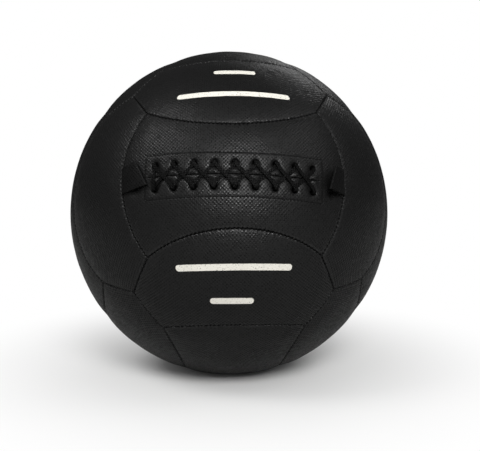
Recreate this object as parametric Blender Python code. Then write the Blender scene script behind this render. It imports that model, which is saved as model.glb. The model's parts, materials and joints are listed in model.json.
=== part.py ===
"""A laced wall ball: eighteen cover panels sewn round a lined textile filling with a weighted bag at its heart.

The seams follow a cube whose twelve edges are cut off. Six four-sided panels lie on the cube's axes and
twelve six-sided panels lie between them. The ball lies with its laced panel turned up from the front, and it
stands on the flat that its own weight presses into the bottom panel. The origin is the middle of that flat,
with +Z up and the front at -Y. Metres throughout.
"""

import math

import bmesh
import bpy
import numpy as np

# Ball
BALL_WIDTH = 0.3524
BALL_HEIGHT = 0.3588
CONTACT_DIAMETER = 0.084
REST_LEAN_ANGLE = 20.3
CLEARANCE = 0.0003

# Cover, sewn inside out so that every seam allowance turns into the ball
COVER_THICKNESS = 0.0015
SEAM_ALLOWANCE = 0.0086
SEAM_DIP = 0.0016
CROWN_WIDTH = 0.022

# Seam layout, as angles from a four-sided panel's own axis in degrees
LONG_CORNER_ANGLE = 32.5
SHORT_CORNER_ANGLE = 28.4
BULGE_ANGLE = 39.0
WAIST_ANGLE = 17.0

# Lacing, measured along the cover from the middle of the laced panel
HOLE_PAIRS = 9
HOLE_PITCH = 0.0200
HOLE_ROW_GAP = 0.025
HOLE_DIAMETER = 0.0072
LACING_DROP = 0.001
LACING_TILT_ANGLE = 1.6
SLIT_END_MARGIN = 0.0082
SLIT_WIDTH = 0.0009
LACE_WIDTH = 0.005
LACE_THICKNESS = 0.0014
LACE_BEND_RADIUS = 0.0011
LACE_TAIL = 0.009

# Sheets behind the slit
PATCH_END_MARGIN = 0.008
PATCH_SIDE_MARGIN = 0.0135
PATCH_THICKNESS = 0.0012
FLAP_END_MARGIN = 0.006
FLAP_SIDE_MARGIN = 0.0105
FLAP_THICKNESS = 0.0009

# End tabs, folded double and sewn into the laced panel's left and right seams
TAB_WIDTH = 0.0256
TAB_SHORT_EDGE = 0.019
TAB_LONG_EDGE = 0.033
TAB_THICKNESS = 0.0024
TAB_SEAT_HEIGHT = 0.0004
LEFT_TAB_LEVEL = 0.0018
RIGHT_TAB_LEVEL = -0.0016
LEFT_TAB_LIFT_ANGLE = 4
RIGHT_TAB_LIFT_ANGLE = 17
LEFT_TAB_RISE = 0.005
RIGHT_TAB_RISE = 0.001

# Lining and filling
LINING_THICKNESS = 0.001
LINING_MOUTH_MARGIN = 0.012
LINING_MOUTH_HEIGHT = 0.008
BAG_DIAMETER = 0.150
BAG_THICKNESS = 0.0012
BAG_NECK_DIAMETER = 0.026
BAG_WAIST_DIAMETER = 0.018
BAG_NECK_LENGTH = 0.030
TIE_DIAMETER = 0.003

# How finely the curved faces are divided
LONG_SHARES = (0, 0.045, 0.15, 0.32, 0.5, 0.68, 0.85, 0.955, 1)
RING_STEPS = 20
POLAR_STEPS = 10
LACED_STEPS = 3
HOLE_SIDES = 8
TIE_SIDES = 8

HALF_WIDTH = BALL_WIDTH / 2
HALF_HEIGHT = BALL_HEIGHT / 2
CONTACT_SHARE = CONTACT_DIAMETER / BALL_WIDTH
CENTRE_HEIGHT = HALF_HEIGHT * math.sqrt(1 - CONTACT_SHARE**2)
CUT_OVERRUN = COVER_THICKNESS

# How far a flat facet of the cover falls inside the round it stands for
CHORD_SHARE = max(b - a for a, b in zip(LONG_SHARES, LONG_SHARES[1:]))
SEAM_CHORD = CHORD_SHARE * 2 * math.radians(LONG_CORNER_ANGLE) * HALF_WIDTH
SEAM_SAG = SEAM_CHORD**2 / (8 * HALF_WIDTH)
LACED_CHORD = CHORD_SHARE * 2 * math.radians(BULGE_ANGLE) * HALF_WIDTH / LACED_STEPS
LACED_SAG = LACED_CHORD**2 / (8 * HALF_WIDTH)

# The cube's axes, as the ball lies
LEAN = math.radians(REST_LEAN_ANGLE)
RIGHT = np.array([1.0, 0.0, 0.0])
TOP = np.array([0.0, math.sin(LEAN), math.cos(LEAN)])
FRONT = np.cross(RIGHT, TOP)


def unit(vector):
    return vector / np.linalg.norm(vector)


def skin(direction, depth=0.0):
    """Point on the ball in this direction, this deep under the cover's nominal surface, without the flat."""
    return np.asarray(direction) * (
        np.array([HALF_WIDTH, HALF_WIDTH, HALF_HEIGHT]) - depth
    ) + np.array([0, 0, CENTRE_HEIGHT])


MIDDLE = skin(np.zeros(3))


# Materials


def material(name, colour, roughness):
    """Principled material of one colour and roughness."""
    made = bpy.data.materials.new(name)
    made.use_nodes = True
    shader = made.node_tree.nodes["Principled BSDF"]
    shader.inputs["Base Color"].default_value = (*colour, 1)
    shader.inputs["Roughness"].default_value = roughness
    shader.inputs["Metallic"].default_value = 0
    return made


def finished(name, mesh, made_of):
    """Object of this name, with its normals outward, its own material and smooth shading."""
    obj = bpy.data.objects.new(name, mesh)
    bpy.context.scene.collection.objects.link(obj)
    mesh.materials.append(material(name, *made_of))
    mesh.shade_smooth()
    mesh.set_sharp_from_angle(angle=math.radians(40))
    return obj


def object_of(name, bm, made_of):
    mesh = bpy.data.meshes.new(name)
    bmesh.ops.recalc_face_normals(bm, faces=bm.faces)
    bm.to_mesh(mesh)
    bm.free()
    return finished(name, mesh, made_of)


VINYL = ((0.022, 0.022, 0.022), 0.55)
LACE_WEB = ((0.012, 0.012, 0.012), 0.7)
CANVAS = ((0.30, 0.28, 0.24), 0.9)
WADDING = ((0.42, 0.41, 0.40), 0.95)
SACKCLOTH = ((0.10, 0.14, 0.22), 0.85)
SHOT = ((0.08, 0.08, 0.085), 0.5)
STRING = ((0.55, 0.50, 0.42), 0.85)


# Seam layout


def arc(start, end, middle, shares):
    """Points at the given shares along the circle from start to end by way of middle, on the unit ball."""
    axis = unit(np.cross(end - start, middle - start))
    centre = axis * (start @ axis)
    across = start - centre
    radius = np.linalg.norm(across)
    across = across / radius
    along = np.cross(axis, across)

    def turn(point):
        angle = math.atan2((point - centre) @ along, (point - centre) @ across)
        return angle % (2 * math.pi)

    sweep = turn(end)
    if turn(middle) > sweep:
        sweep -= 2 * math.pi
    return [
        centre + radius * (math.cos(sweep * s) * across + math.sin(sweep * s) * along)
        for s in shares
    ]


def short_seam(start, end, shares):
    """The seam of least length between two points of the unit ball."""
    sweep = math.acos(start @ end)
    return [
        (math.sin(sweep * (1 - s)) * start + math.sin(sweep * s) * end)
        / math.sin(sweep)
        for s in shares
    ]


def corner(normal, long_axis, short_axis):
    """Corner of the four-sided panel on this axis, on the side that the signed axes point to."""
    return unit(
        normal
        + math.tan(math.radians(LONG_CORNER_ANGLE)) * long_axis
        + math.tan(math.radians(SHORT_CORNER_ANGLE)) * short_axis
    )


def tilted(normal, towards, degrees):
    angle = math.radians(degrees)
    return math.cos(angle) * normal + math.sin(angle) * towards


def bulging_seam(normal, long_axis, short_axis):
    """Long-end seam of a four-sided panel, which swells outward."""
    return arc(
        corner(normal, long_axis, -short_axis),
        corner(normal, long_axis, short_axis),
        tilted(normal, long_axis, BULGE_ANGLE),
        LONG_SHARES,
    )


def waisted_seam(normal, long_axis, short_axis):
    """Side seam of a four-sided panel, which draws in at its middle."""
    return arc(
        corner(normal, -long_axis, short_axis),
        corner(normal, long_axis, short_axis),
        tilted(normal, short_axis, WAIST_ANGLE),
        LONG_SHARES,
    )


def four_sided(normal, long_axis, short_axis):
    """The seams of a four-sided panel: its low and high sides, then its two ends."""
    return (
        waisted_seam(normal, long_axis, -short_axis),
        waisted_seam(normal, long_axis, short_axis),
        bulging_seam(normal, -long_axis, short_axis),
        bulging_seam(normal, long_axis, short_axis),
    )


def six_sided(waist_normal, bulge_normal, along):
    """The seams of a six-sided panel, whose ends are two short seams that meet at a corner of the cube.

    The waisted side belongs to the panel on waist_normal, whose short axis points at bulge_normal.
    """
    waist = waisted_seam(waist_normal, along, bulge_normal)
    bulge = bulging_seam(bulge_normal, waist_normal, along)
    ends = []
    half = len(LONG_SHARES) // 2 + 1
    run_shares = [2 * s for s in LONG_SHARES[:half]]
    for side, low, high in ((-along, waist[0], bulge[0]), (along, waist[-1], bulge[-1])):
        peak = unit(waist_normal + bulge_normal + side)
        rise = short_seam(low, peak, run_shares)
        fall = short_seam(high, peak, run_shares)
        ends.append(rise + fall[-2::-1])
    return waist, bulge, ends[0], ends[1]


def patch(seams):
    """Grid of directions that fills four seams, blended from their opposite sides."""
    low, high, left, right = (np.array(seam) for seam in seams)
    last = len(LONG_SHARES) - 1
    grid = []
    for j, v in enumerate(LONG_SHARES):
        row = []
        for i, u in enumerate(LONG_SHARES):
            ruled = (1 - v) * low[i] + v * high[i] + (1 - u) * left[j] + u * right[j]
            corners = (1 - v) * ((1 - u) * low[0] + u * low[last])
            corners = corners + v * ((1 - u) * high[0] + u * high[last])
            row.append(unit(ruled - corners))
        grid.append(row)
    return grid


# Cover panels


def rim_places(size):
    """Places of a grid's border, in order round it."""
    last = size - 1
    places = [(0, i) for i in range(last)] + [(j, last) for j in range(last)]
    places += [(last, last - i) for i in range(last)]
    return places + [(last - j, 0) for j in range(last)]


def rim_of(grid):
    """The grid's border as one closed line."""
    return np.array([grid[j][i] for j, i in rim_places(len(grid))])


LACED_AXES = (FRONT, RIGHT, TOP)
LACED_RIM = rim_of(patch(four_sided(*LACED_AXES)))


def drawn_in(rim, middle, distance):
    """The border moved this far into its panel, along the cover."""
    moved = []
    count = len(rim)
    for k, here in enumerate(rim):
        inward = []
        for other in (rim[k - 1], rim[(k + 1) % count]):
            side = unit(np.cross(here, other - here))
            inward.append(side if side @ (middle - here) > 0 else -side)
        shift = (inward[0] + inward[1]) / (1 + inward[0] @ inward[1])
        moved.append(unit(here + shift * distance / HALF_WIDTH))
    return moved


def dip_at(direction, rim):
    """How far the cover is drawn in here by the nearest seam."""
    ends = np.roll(rim, -1, axis=0)
    runs = ends - rim
    shares = np.clip(
        ((direction - rim) * runs).sum(axis=1) / (runs * runs).sum(axis=1), 0, 1
    )
    gaps = direction - (rim + shares[:, None] * runs)
    distance = np.linalg.norm(gaps, axis=1).min() * HALF_WIDTH
    return SEAM_DIP * max(0, 1 - distance / CROWN_WIDTH) ** 2


def press_flat(bm, faces, depth):
    """Cuts these faces at the flat under the ball and brings what hangs below it up to the flat."""
    geometry = list(faces)
    geometry += {edge for face in faces for edge in face.edges}
    geometry += {vert for face in faces for vert in face.verts}
    cut = bmesh.ops.bisect_plane(
        bm, geom=geometry, plane_co=(0, 0, depth), plane_no=(0, 0, 1)
    )
    touched = {part for part in cut["geom"] if isinstance(part, bmesh.types.BMVert)}
    for vert in touched:
        vert.co.z = max(vert.co.z, depth)


def divided(bm, faces, loop, rim, depth):
    """Divides the faces that keep clear of the seams more finely, and rounds the new points onto the ball."""
    border = set(loop)
    edges = {edge for face in faces if not border & set(face.verts) for edge in face.edges}
    made = bmesh.ops.subdivide_edges(bm, edges=list(edges), cuts=LACED_STEPS - 1, use_grid_fill=True)
    reach = skin(np.ones(3), depth) - MIDDLE
    for vert in made["geom_inner"]:
        if isinstance(vert, bmesh.types.BMVert):
            towards = unit((np.array(vert.co) - MIDDLE) / reach)
            vert.co = skin(towards, depth + dip_at(towards, rim))


def panel_face(bm, grid, border, rim, depth, kind):
    """A panel's face at this depth, with the places of its border in order."""
    size = len(LONG_SHARES)
    places = rim_places(size)
    spots = dict(zip(places, border))
    verts = {}
    for j in range(size):
        for i in range(size):
            towards = spots.get((j, i), grid[j][i])
            drop = SEAM_DIP if (j, i) in spots else dip_at(towards, rim)
            verts[j, i] = bm.verts.new(skin(towards, depth + drop))
    faces = [
        bm.faces.new([verts[j, i], verts[j, i + 1], verts[j + 1, i + 1], verts[j + 1, i]])
        for j in range(size - 1)
        for i in range(size - 1)
    ]
    loop = [verts[place] for place in places]
    at = [tuple(vert.co) for vert in loop]
    if kind == "laced":
        divided(bm, faces, loop, rim, depth)
    elif kind == "standing":
        press_flat(bm, faces, depth)
    return at


def cover_panel(name, seams, kind="plain"):
    """One panel: its skin, drawn in at the seams, and its seam allowance turned into the ball."""
    grid = patch(seams)
    rim = rim_of(grid)
    middle = grid[len(grid) // 2][len(grid) // 2]
    outer_rim = drawn_in(rim, middle, CLEARANCE / 2)
    inner_rim = drawn_in(rim, middle, CLEARANCE / 2 + COVER_THICKNESS)
    bm = bmesh.new()
    outer_at = panel_face(bm, grid, outer_rim, rim, 0, kind)
    inner_at = panel_face(bm, grid, inner_rim, rim, COVER_THICKNESS, kind)
    found = {tuple(vert.co): vert for vert in bm.verts}
    outer_tip = [bm.verts.new(skin(towards, SEAM_ALLOWANCE)) for towards in outer_rim]
    inner_tip = [bm.verts.new(skin(towards, SEAM_ALLOWANCE)) for towards in inner_rim]
    loops = ([found[at] for at in outer_at], outer_tip, inner_tip, [found[at] for at in inner_at])
    for upper, lower in zip(loops, loops[1:]):
        for k in range(len(upper)):
            n = (k + 1) % len(upper)
            bm.faces.new([upper[k], upper[n], lower[n], lower[k]])
    return object_of(name, bm, VINYL)


def cover():
    """All eighteen panels."""
    front, rear, left, right, top, bottom = FRONT, -FRONT, -RIGHT, RIGHT, TOP, -TOP
    quads = {
        "laced_panel": LACED_AXES,
        "rear_panel": (rear, left, top),
        "left_panel": (left, top, front),
        "right_panel": (right, top, rear),
        "top_panel": (top, rear, right),
        "bottom_panel": (bottom, front, right),
    }
    hexes = {
        "front_upper_panel": (front, top, right),
        "front_lower_panel": (front, bottom, right),
        "rear_upper_panel": (rear, top, right),
        "rear_lower_panel": (rear, bottom, right),
        "front_left_panel": (left, front, top),
        "front_right_panel": (right, front, top),
        "rear_left_panel": (left, rear, top),
        "rear_right_panel": (right, rear, top),
        "upper_left_panel": (top, left, rear),
        "upper_right_panel": (top, right, rear),
        "lower_left_panel": (bottom, left, rear),
        "lower_right_panel": (bottom, right, rear),
    }
    kinds = {"laced_panel": "laced", "bottom_panel": "standing"}
    panels = {
        name: cover_panel(name, four_sided(*axes), kinds.get(name, "plain"))
        for name, axes in quads.items()
    }
    panels |= {name: cover_panel(name, six_sided(*axes)) for name, axes in hexes.items()}
    return panels


# Lacing


def laced_point(along, up, depth):
    """Point at this place on the laced panel, measured along the cover from the middle of the lacing."""
    tilt = math.radians(LACING_TILT_ANGLE)
    across = along * math.cos(tilt) + up * math.sin(tilt)
    rise = up * math.cos(tilt) - along * math.sin(tilt) - LACING_DROP
    azimuth, elevation = across / HALF_WIDTH, rise / HALF_HEIGHT
    level = math.sin(azimuth) * RIGHT + math.cos(azimuth) * FRONT
    towards = math.cos(elevation) * level + math.sin(elevation) * TOP
    return skin(towards, depth + dip_at(towards, LACED_RIM))


def hole_places():
    """Distance of each pair of holes from the middle of the lacing."""
    return [HOLE_PITCH * (k - (HOLE_PAIRS - 1) / 2) for k in range(HOLE_PAIRS)]


def curved_slab(bm, length, height, top_depth, base_depth, steps):
    """A sheet that follows the laced panel, between two depths under the cover."""
    layers = []
    columns, rows = steps
    for depth in (top_depth, base_depth):
        layers.append([
            [
                bm.verts.new(laced_point(length * (i / columns - 0.5), height * (j / rows - 0.5), depth))
                for i in range(columns + 1)
            ]
            for j in range(rows + 1)
        ])
    for layer in layers:
        for j in range(rows):
            for i in range(columns):
                bm.faces.new([layer[j][i], layer[j][i + 1], layer[j + 1][i + 1], layer[j + 1][i]])
    border = [(0, i) for i in range(columns)] + [(j, columns) for j in range(rows)]
    border += [(rows, columns - i) for i in range(columns)] + [(rows - j, 0) for j in range(rows)]
    for (j, i), (n, m) in zip(border, border[1:] + border[:1]):
        bm.faces.new([layers[0][j][i], layers[0][n][m], layers[1][n][m], layers[1][j][i]])


def punched_hole(bm, along, up, top_depth, base_depth):
    """A round prism through the cover at one lacing hole."""
    rings = []
    for depth in (top_depth, base_depth):
        ring = []
        for k in range(HOLE_SIDES):
            angle = 2 * math.pi * k / HOLE_SIDES
            reach = HOLE_DIAMETER / 2
            place = laced_point(along + reach * math.cos(angle), up + reach * math.sin(angle), depth)
            ring.append(bm.verts.new(place))
        rings.append(ring)
        bm.faces.new(ring)
    for k in range(HOLE_SIDES):
        n = (k + 1) % HOLE_SIDES
        bm.faces.new([rings[0][k], rings[0][n], rings[1][n], rings[1][k]])


def cutter(name, bm):
    """A hidden body for a Boolean to take away."""
    obj = object_of(name, bm, VINYL)
    obj.hide_render = True
    obj.display_type = "WIRE"
    return obj


def cut_from(obj, tool):
    cut = obj.modifiers.new("openings", "BOOLEAN")
    cut.operation = "DIFFERENCE"
    cut.solver = "EXACT"
    cut.object = tool


PATCH_DEPTH = COVER_THICKNESS + LACED_SAG + CLEARANCE
PATCH_BASE = PATCH_DEPTH + PATCH_THICKNESS
SLIT_LENGTH = HOLE_PITCH * (HOLE_PAIRS - 1) + 2 * SLIT_END_MARGIN
PATCH_LENGTH = SLIT_LENGTH + 2 * PATCH_END_MARGIN
PATCH_HEIGHT = HOLE_ROW_GAP + 2 * PATCH_SIDE_MARGIN
FLAP_LENGTH = SLIT_LENGTH + 2 * FLAP_END_MARGIN
FLAP_HEIGHT = HOLE_ROW_GAP + 2 * FLAP_SIDE_MARGIN
LINING_MOUTH_LENGTH = SLIT_LENGTH - 2 * LINING_MOUTH_MARGIN
SLIT_STEPS = (20, 1)
SHEET_STEPS = (14, 4)
MOUTH_STEPS = (12, 1)


def lacing_openings():
    """The holes and the slit, as one cutter for the laced panel and the patch sewn behind it."""
    bm = bmesh.new()
    top_depth, base_depth = -CUT_OVERRUN, PATCH_BASE + CUT_OVERRUN
    for along in hole_places():
        for up in (-HOLE_ROW_GAP / 2, HOLE_ROW_GAP / 2):
            punched_hole(bm, along, up, top_depth, base_depth)
    curved_slab(bm, SLIT_LENGTH, SLIT_WIDTH, top_depth, base_depth, SLIT_STEPS)
    return cutter("lacing_openings", bm)


# The lace wraps its return run round its first run, inside and outside the cover, and ends with one turn
# round the first pair of holes.
BAND_STEP = LACE_THICKNESS + CLEARANCE
UNDER_HEIGHT = CLEARANCE + LACE_THICKNESS / 2
OVER_HEIGHT = UNDER_HEIGHT + BAND_STEP
NEAR_DEPTH = PATCH_BASE + UNDER_HEIGHT
FAR_DEPTH = NEAR_DEPTH + BAND_STEP
HOLE_SHIFT = BAND_STEP / 2
ROW_SAG = HOLE_ROW_GAP**2 / (8 * HALF_WIDTH)
FLAP_DEPTH = FAR_DEPTH + UNDER_HEIGHT + ROW_SAG
BEND_STEPS = 2
BAND_STEPS = 5


class Band:
    """The lace's two bands: where each one passes a hole, and how high and how deep it lies."""

    def __init__(self, shift, height, depth):
        self.row = HOLE_ROW_GAP / 2 + shift
        self.height = height
        self.depth = depth


FIRST_RUN = Band(-HOLE_SHIFT, UNDER_HEIGHT, NEAR_DEPTH)
RETURN_RUN = Band(HOLE_SHIFT, OVER_HEIGHT, FAR_DEPTH)


def bend(along, side, outer, inner, row):
    """Stations from the outside of a hole to its inside, on the side where up has this sign.

    Each station is a place along, a place up, a height over the cover and the direction of the band's width.
    """
    stations = []
    for level, sense in ((outer, 1), (inner, -1)):
        centre_up = side * (row - LACE_BEND_RADIUS)
        centre_level = level - sense * LACE_BEND_RADIUS
        turned = []
        for k in range(BEND_STEPS + 1):
            angle = math.pi / 2 * k / BEND_STEPS
            up = centre_up + side * LACE_BEND_RADIUS * math.sin(angle)
            level_here = centre_level + sense * LACE_BEND_RADIUS * math.cos(angle)
            turned.append((along, up, level_here, 0.0))
        stations += turned if sense == 1 else turned[::-1]
    return stations


def crossing(start, end, level):
    """Stations of a band from one hole to the next, curving out of one and into the other."""
    (x0, y0), (x1, y1) = start, end
    pull = (y1 - y0) / 3
    stations = []
    for k in range(1, BAND_STEPS):
        t = k / BAND_STEPS
        near, far = 3 * (1 - t) ** 2 * t, 3 * (1 - t) * t**2
        x = ((1 - t) ** 3 + near) * x0 + (t**3 + far) * x1
        y = (1 - t) ** 3 * y0 + near * (y0 + pull) + far * (y1 - pull) + t**3 * y1
        dx = 6 * (1 - t) * t * (x1 - x0)
        dy = 3 * pull * (1 - t) ** 2 + 6 * (1 - t) * t * (y1 - y0 - 2 * pull) + 3 * pull * t**2
        stations.append((x, y, level, math.atan2(-dx, dy) if dy > 0 else math.atan2(dx, -dy)))
    return stations


def lace_stations():
    """The whole route: out along the row on the lower band, back over it, and once round the first pair."""
    places = hole_places()
    low_row = FIRST_RUN.row - LACE_BEND_RADIUS
    stations = [(places[0], -HOLE_ROW_GAP / 2 + LACE_TAIL, -FIRST_RUN.depth, 0.0)]
    for here, onward in zip(places, places[1:]):
        stations += bend(here, -1, FIRST_RUN.height, -FIRST_RUN.depth, FIRST_RUN.row)[::-1]
        stations += crossing((here, -low_row), (onward, low_row), FIRST_RUN.height)
        stations += bend(onward, 1, FIRST_RUN.height, -FIRST_RUN.depth, FIRST_RUN.row)
    high_row = RETURN_RUN.row - LACE_BEND_RADIUS
    back = places[::-1]
    for here, onward in zip(back, back[1:]):
        inner = -FIRST_RUN.depth if here == back[0] else -RETURN_RUN.depth
        stations += bend(here, -1, RETURN_RUN.height, inner, RETURN_RUN.row)[::-1]
        stations += crossing((here, -high_row), (onward, high_row), RETURN_RUN.height)
        stations += bend(onward, 1, RETURN_RUN.height, -RETURN_RUN.depth, RETURN_RUN.row)
    first = places[0]
    stations += bend(first, -1, RETURN_RUN.height, -RETURN_RUN.depth, RETURN_RUN.row)[::-1]
    stations.append((first, -HOLE_ROW_GAP / 10, RETURN_RUN.height, 0.0))
    stations.append((first, HOLE_ROW_GAP / 10, FIRST_RUN.height, 0.0))
    stations += bend(first, 1, FIRST_RUN.height, -FIRST_RUN.depth, FIRST_RUN.row)
    stations.append((first, HOLE_ROW_GAP / 2 - LACE_TAIL, -FIRST_RUN.depth, 0.0))
    return stations


def lace():
    """The lace as one flat band, a rectangle carried along its stations."""
    stations = lace_stations()
    middles = [laced_point(x, y, -level) for x, y, level, _ in stations]
    bm = bmesh.new()
    rings = []
    for k, (x, y, level, turn) in enumerate(stations):
        step = LACE_WIDTH / 2
        aside = laced_point(x + step * math.cos(turn), y + step * math.sin(turn), -level)
        width = unit(aside - middles[k])
        before, after = middles[max(k - 1, 0)], middles[min(k + 1, len(stations) - 1)]
        normal = unit(np.cross(after - before, width))
        half, thin = width * LACE_WIDTH / 2, normal * LACE_THICKNESS / 2
        corners = (half + thin, half - thin, -half - thin, -half + thin)
        rings.append([bm.verts.new(middles[k] + at) for at in corners])
    for here, onward in zip(rings, rings[1:]):
        for k in range(4):
            n = (k + 1) % 4
            bm.faces.new([here[k], here[n], onward[n], onward[k]])
    bm.faces.new(rings[0])
    bm.faces.new(rings[-1])
    return object_of("lace", bm, LACE_WEB)


def behind_the_slit(openings):
    """The patch that backs the slit and its holes, and the flap that closes the slit from inside."""
    bm = bmesh.new()
    curved_slab(bm, PATCH_LENGTH, PATCH_HEIGHT, PATCH_DEPTH, PATCH_BASE, SHEET_STEPS)
    cut_from(object_of("slit_patch", bm, VINYL), openings)
    bm = bmesh.new()
    curved_slab(bm, FLAP_LENGTH, FLAP_HEIGHT, FLAP_DEPTH, FLAP_DEPTH + FLAP_THICKNESS, SHEET_STEPS)
    object_of("slit_flap", bm, CANVAS)


# End tabs


def tab(name, side, level, lift, rise):
    """A folded tab, whose round root turns on a line just over its seam."""
    pivot = bpy.data.objects.new(f"{name}_hinge", None)
    bpy.context.scene.collection.objects.link(pivot)
    seam = tilted(FRONT, side * RIGHT, BULGE_ANGLE)
    pivot.location = skin(seam, -TAB_SEAT_HEIGHT) + level * TOP
    inward = tilted(-side * RIGHT, FRONT, BULGE_ANGLE)
    along = tilted(inward, seam, lift)
    normal = tilted(seam, -inward, lift)
    half, thin = TAB_WIDTH / 2, TAB_THICKNESS / 2
    outline = [(0, half), (TAB_SHORT_EDGE, half + rise), (TAB_LONG_EDGE, -half + rise), (0, -half)]
    bm = bmesh.new()
    # The root is rounded over both layers, and the free edge is a fold.
    sections = []
    for (x0, z0), (x1, z1) in ((outline[0], outline[1]), (outline[3], outline[2])):
        profile = []
        for turn in (90, 120, 150, 180, 210, 240, 270):
            a = math.radians(turn)
            profile.append((x0 + thin * math.cos(a), z0, thin * math.sin(a)))
        for turn in (-90, -45, 0, 45, 90):
            a = math.radians(turn)
            profile.append((x1 - thin + thin * math.cos(a), z1, thin * math.sin(a)))
        sections.append([
            bm.verts.new(x * along + z * TOP + y * normal) for x, z, y in profile
        ])
    high, low = sections
    bm.faces.new(high)
    bm.faces.new(low)
    for k in range(len(high)):
        n = (k + 1) % len(high)
        bm.faces.new([high[k], high[n], low[n], low[k]])
    obj = object_of(name, bm, VINYL)
    obj.parent = pivot
    print(name, "turns about", [round(value, 6) for value in side * TOP])
    print(name, "turns on", [round(value, 5) for value in pivot.location])


# Lining, filling and weighted bag, turned about the line from the laced panel to the rear panel

LINING_DEPTH = max(SEAM_ALLOWANCE, FLAP_DEPTH + FLAP_THICKNESS) + SEAM_SAG + CLEARANCE
FILLING_DEPTH = LINING_DEPTH + LINING_THICKNESS + CLEARANCE


def polar_angles(start, end):
    """Angles from the rear at the shared polar steps between two angles, with both ends."""
    step = math.pi / POLAR_STEPS
    inner = [step * k for k in range(POLAR_STEPS + 1) if start + step / 4 < step * k < end - step / 4]
    return [start] + inner + [end]


def spokes():
    """Directions square to the line from front to rear, one for each step round it."""
    turns = [2 * math.pi * (k + 0.5) / RING_STEPS for k in range(RING_STEPS)]
    return [math.cos(turn) * RIGHT + math.sin(turn) * TOP for turn in turns]


def ways(angle):
    """Directions at this angle from the rear: a ring of them, or one at either pole."""
    if math.sin(angle) < CLEARANCE:
        return [-FRONT * math.cos(angle)]
    return [math.sin(angle) * spoke - math.cos(angle) * FRONT for spoke in spokes()]


def shell_rings(depth, angles):
    """Rings of the ball at this depth."""
    return [[skin(way, depth) for way in ways(a)] for a in angles]


def sphere_rings(radius, angles):
    return [[MIDDLE + radius * way for way in ways(a)] for a in angles]


def collar_ring(radius, forward):
    """A ring round the line from front to rear, this far forward of the middle."""
    return [MIDDLE + forward * FRONT + radius * spoke for spoke in spokes()]


def turned(bm, rings):
    """Faces through the rings in order. A ring of one point is a pole."""
    rows = [[bm.verts.new(place) for place in ring] for ring in rings]
    faces = []
    for here, onward in zip(rows, rows[1:]):
        for k in range(RING_STEPS):
            n = (k + 1) % RING_STEPS
            if len(here) == 1:
                ring = [here[0], onward[k], onward[n]]
            elif len(onward) == 1:
                ring = [here[k], onward[0], here[n]]
            else:
                ring = [here[k], here[n], onward[n], onward[k]]
            faces.append(bm.faces.new(ring))
    return faces


def lining():
    """A thin sack close under the seam allowances, open along its front behind the flap."""
    bm = bmesh.new()
    angles = polar_angles(0, math.pi)
    outside = turned(bm, shell_rings(LINING_DEPTH, angles))
    inside = turned(bm, shell_rings(LINING_DEPTH + LINING_THICKNESS, angles))
    bmesh.ops.recalc_face_normals(bm, faces=outside)
    bmesh.ops.recalc_face_normals(bm, faces=inside)
    bmesh.ops.reverse_faces(bm, faces=inside)
    press_flat(bm, outside, LINING_DEPTH)
    press_flat(bm, inside, LINING_DEPTH + LINING_THICKNESS)
    mesh = bpy.data.meshes.new("lining")
    bm.to_mesh(mesh)
    bm.free()
    sack = finished("lining", mesh, CANVAS)
    mouth = bmesh.new()
    reach = SEAM_SAG * 4
    top_depth, base_depth = LINING_DEPTH - reach, LINING_DEPTH + LINING_THICKNESS + reach
    curved_slab(mouth, LINING_MOUTH_LENGTH, LINING_MOUTH_HEIGHT, top_depth, base_depth, MOUTH_STEPS)
    cut_from(sack, cutter("lining_mouth", mouth))


BAG_RADIUS = BAG_DIAMETER / 2
CAVITY_RADIUS = BAG_RADIUS + CLEARANCE
NECK_RADIUS = BAG_NECK_DIAMETER / 2
NECK_WAIST = BAG_WAIST_DIAMETER / 2
NECK_ROOM = NECK_RADIUS + CLEARANCE
NECK_END = BAG_RADIUS + BAG_NECK_LENGTH
WAIST_PLACE = BAG_RADIUS + BAG_NECK_LENGTH / 2


def neck_angle(neck_radius, ball_radius):
    """Angle from the rear at which a neck of this radius leaves a ball of that radius, on its front."""
    return math.pi - math.asin(neck_radius / ball_radius)


def forward(ring, distance):
    return [place + distance * FRONT for place in ring]


def filling():
    """The two wads of textile, of which the front one lies round the bag's neck."""
    bm = bmesh.new()
    middle = math.pi / 2
    outer = shell_rings(FILLING_DEPTH, polar_angles(0, middle))
    hollow = sphere_rings(CAVITY_RADIUS, polar_angles(0, middle))[::-1]
    press_flat(bm, turned(bm, outer + hollow), FILLING_DEPTH)
    object_of("filling_rear", bm, WADDING)
    bm = bmesh.new()
    leaves = neck_angle(NECK_ROOM, CAVITY_RADIUS)
    outer = shell_rings(FILLING_DEPTH, polar_angles(middle, math.pi))[::-1]
    hollow = sphere_rings(CAVITY_RADIUS, polar_angles(middle, leaves))
    split = [forward(ring, CLEARANCE) for ring in (outer[-1], hollow[0])]
    recess = [collar_ring(NECK_ROOM, NECK_END + CLEARANCE), [MIDDLE + (NECK_END + CLEARANCE) * FRONT]]
    press_flat(bm, turned(bm, outer[:-1] + split + hollow[1:] + recess), FILLING_DEPTH)
    object_of("filling_front", bm, WADDING)


def weighted_bag():
    """The sewn bag of shot, its gathered neck to the front, and the string round that neck."""
    wall = BAG_THICKNESS
    outside = sphere_rings(BAG_RADIUS, polar_angles(0, neck_angle(NECK_RADIUS, BAG_RADIUS)))
    outside += [collar_ring(NECK_WAIST, WAIST_PLACE), collar_ring(NECK_RADIUS, NECK_END)]
    inside = [collar_ring(NECK_RADIUS - wall, NECK_END), collar_ring(NECK_WAIST - wall, WAIST_PLACE)]
    leaves = neck_angle(NECK_RADIUS - wall, BAG_RADIUS - wall)
    inside += sphere_rings(BAG_RADIUS - wall, polar_angles(0, leaves))[::-1]
    bm = bmesh.new()
    turned(bm, outside + inside)
    object_of("weight_bag", bm, SACKCLOTH)
    bm = bmesh.new()
    turned(bm, sphere_rings(BAG_RADIUS - wall - CLEARANCE, polar_angles(0, math.pi)))
    object_of("weight_fill", bm, SHOT)


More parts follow.
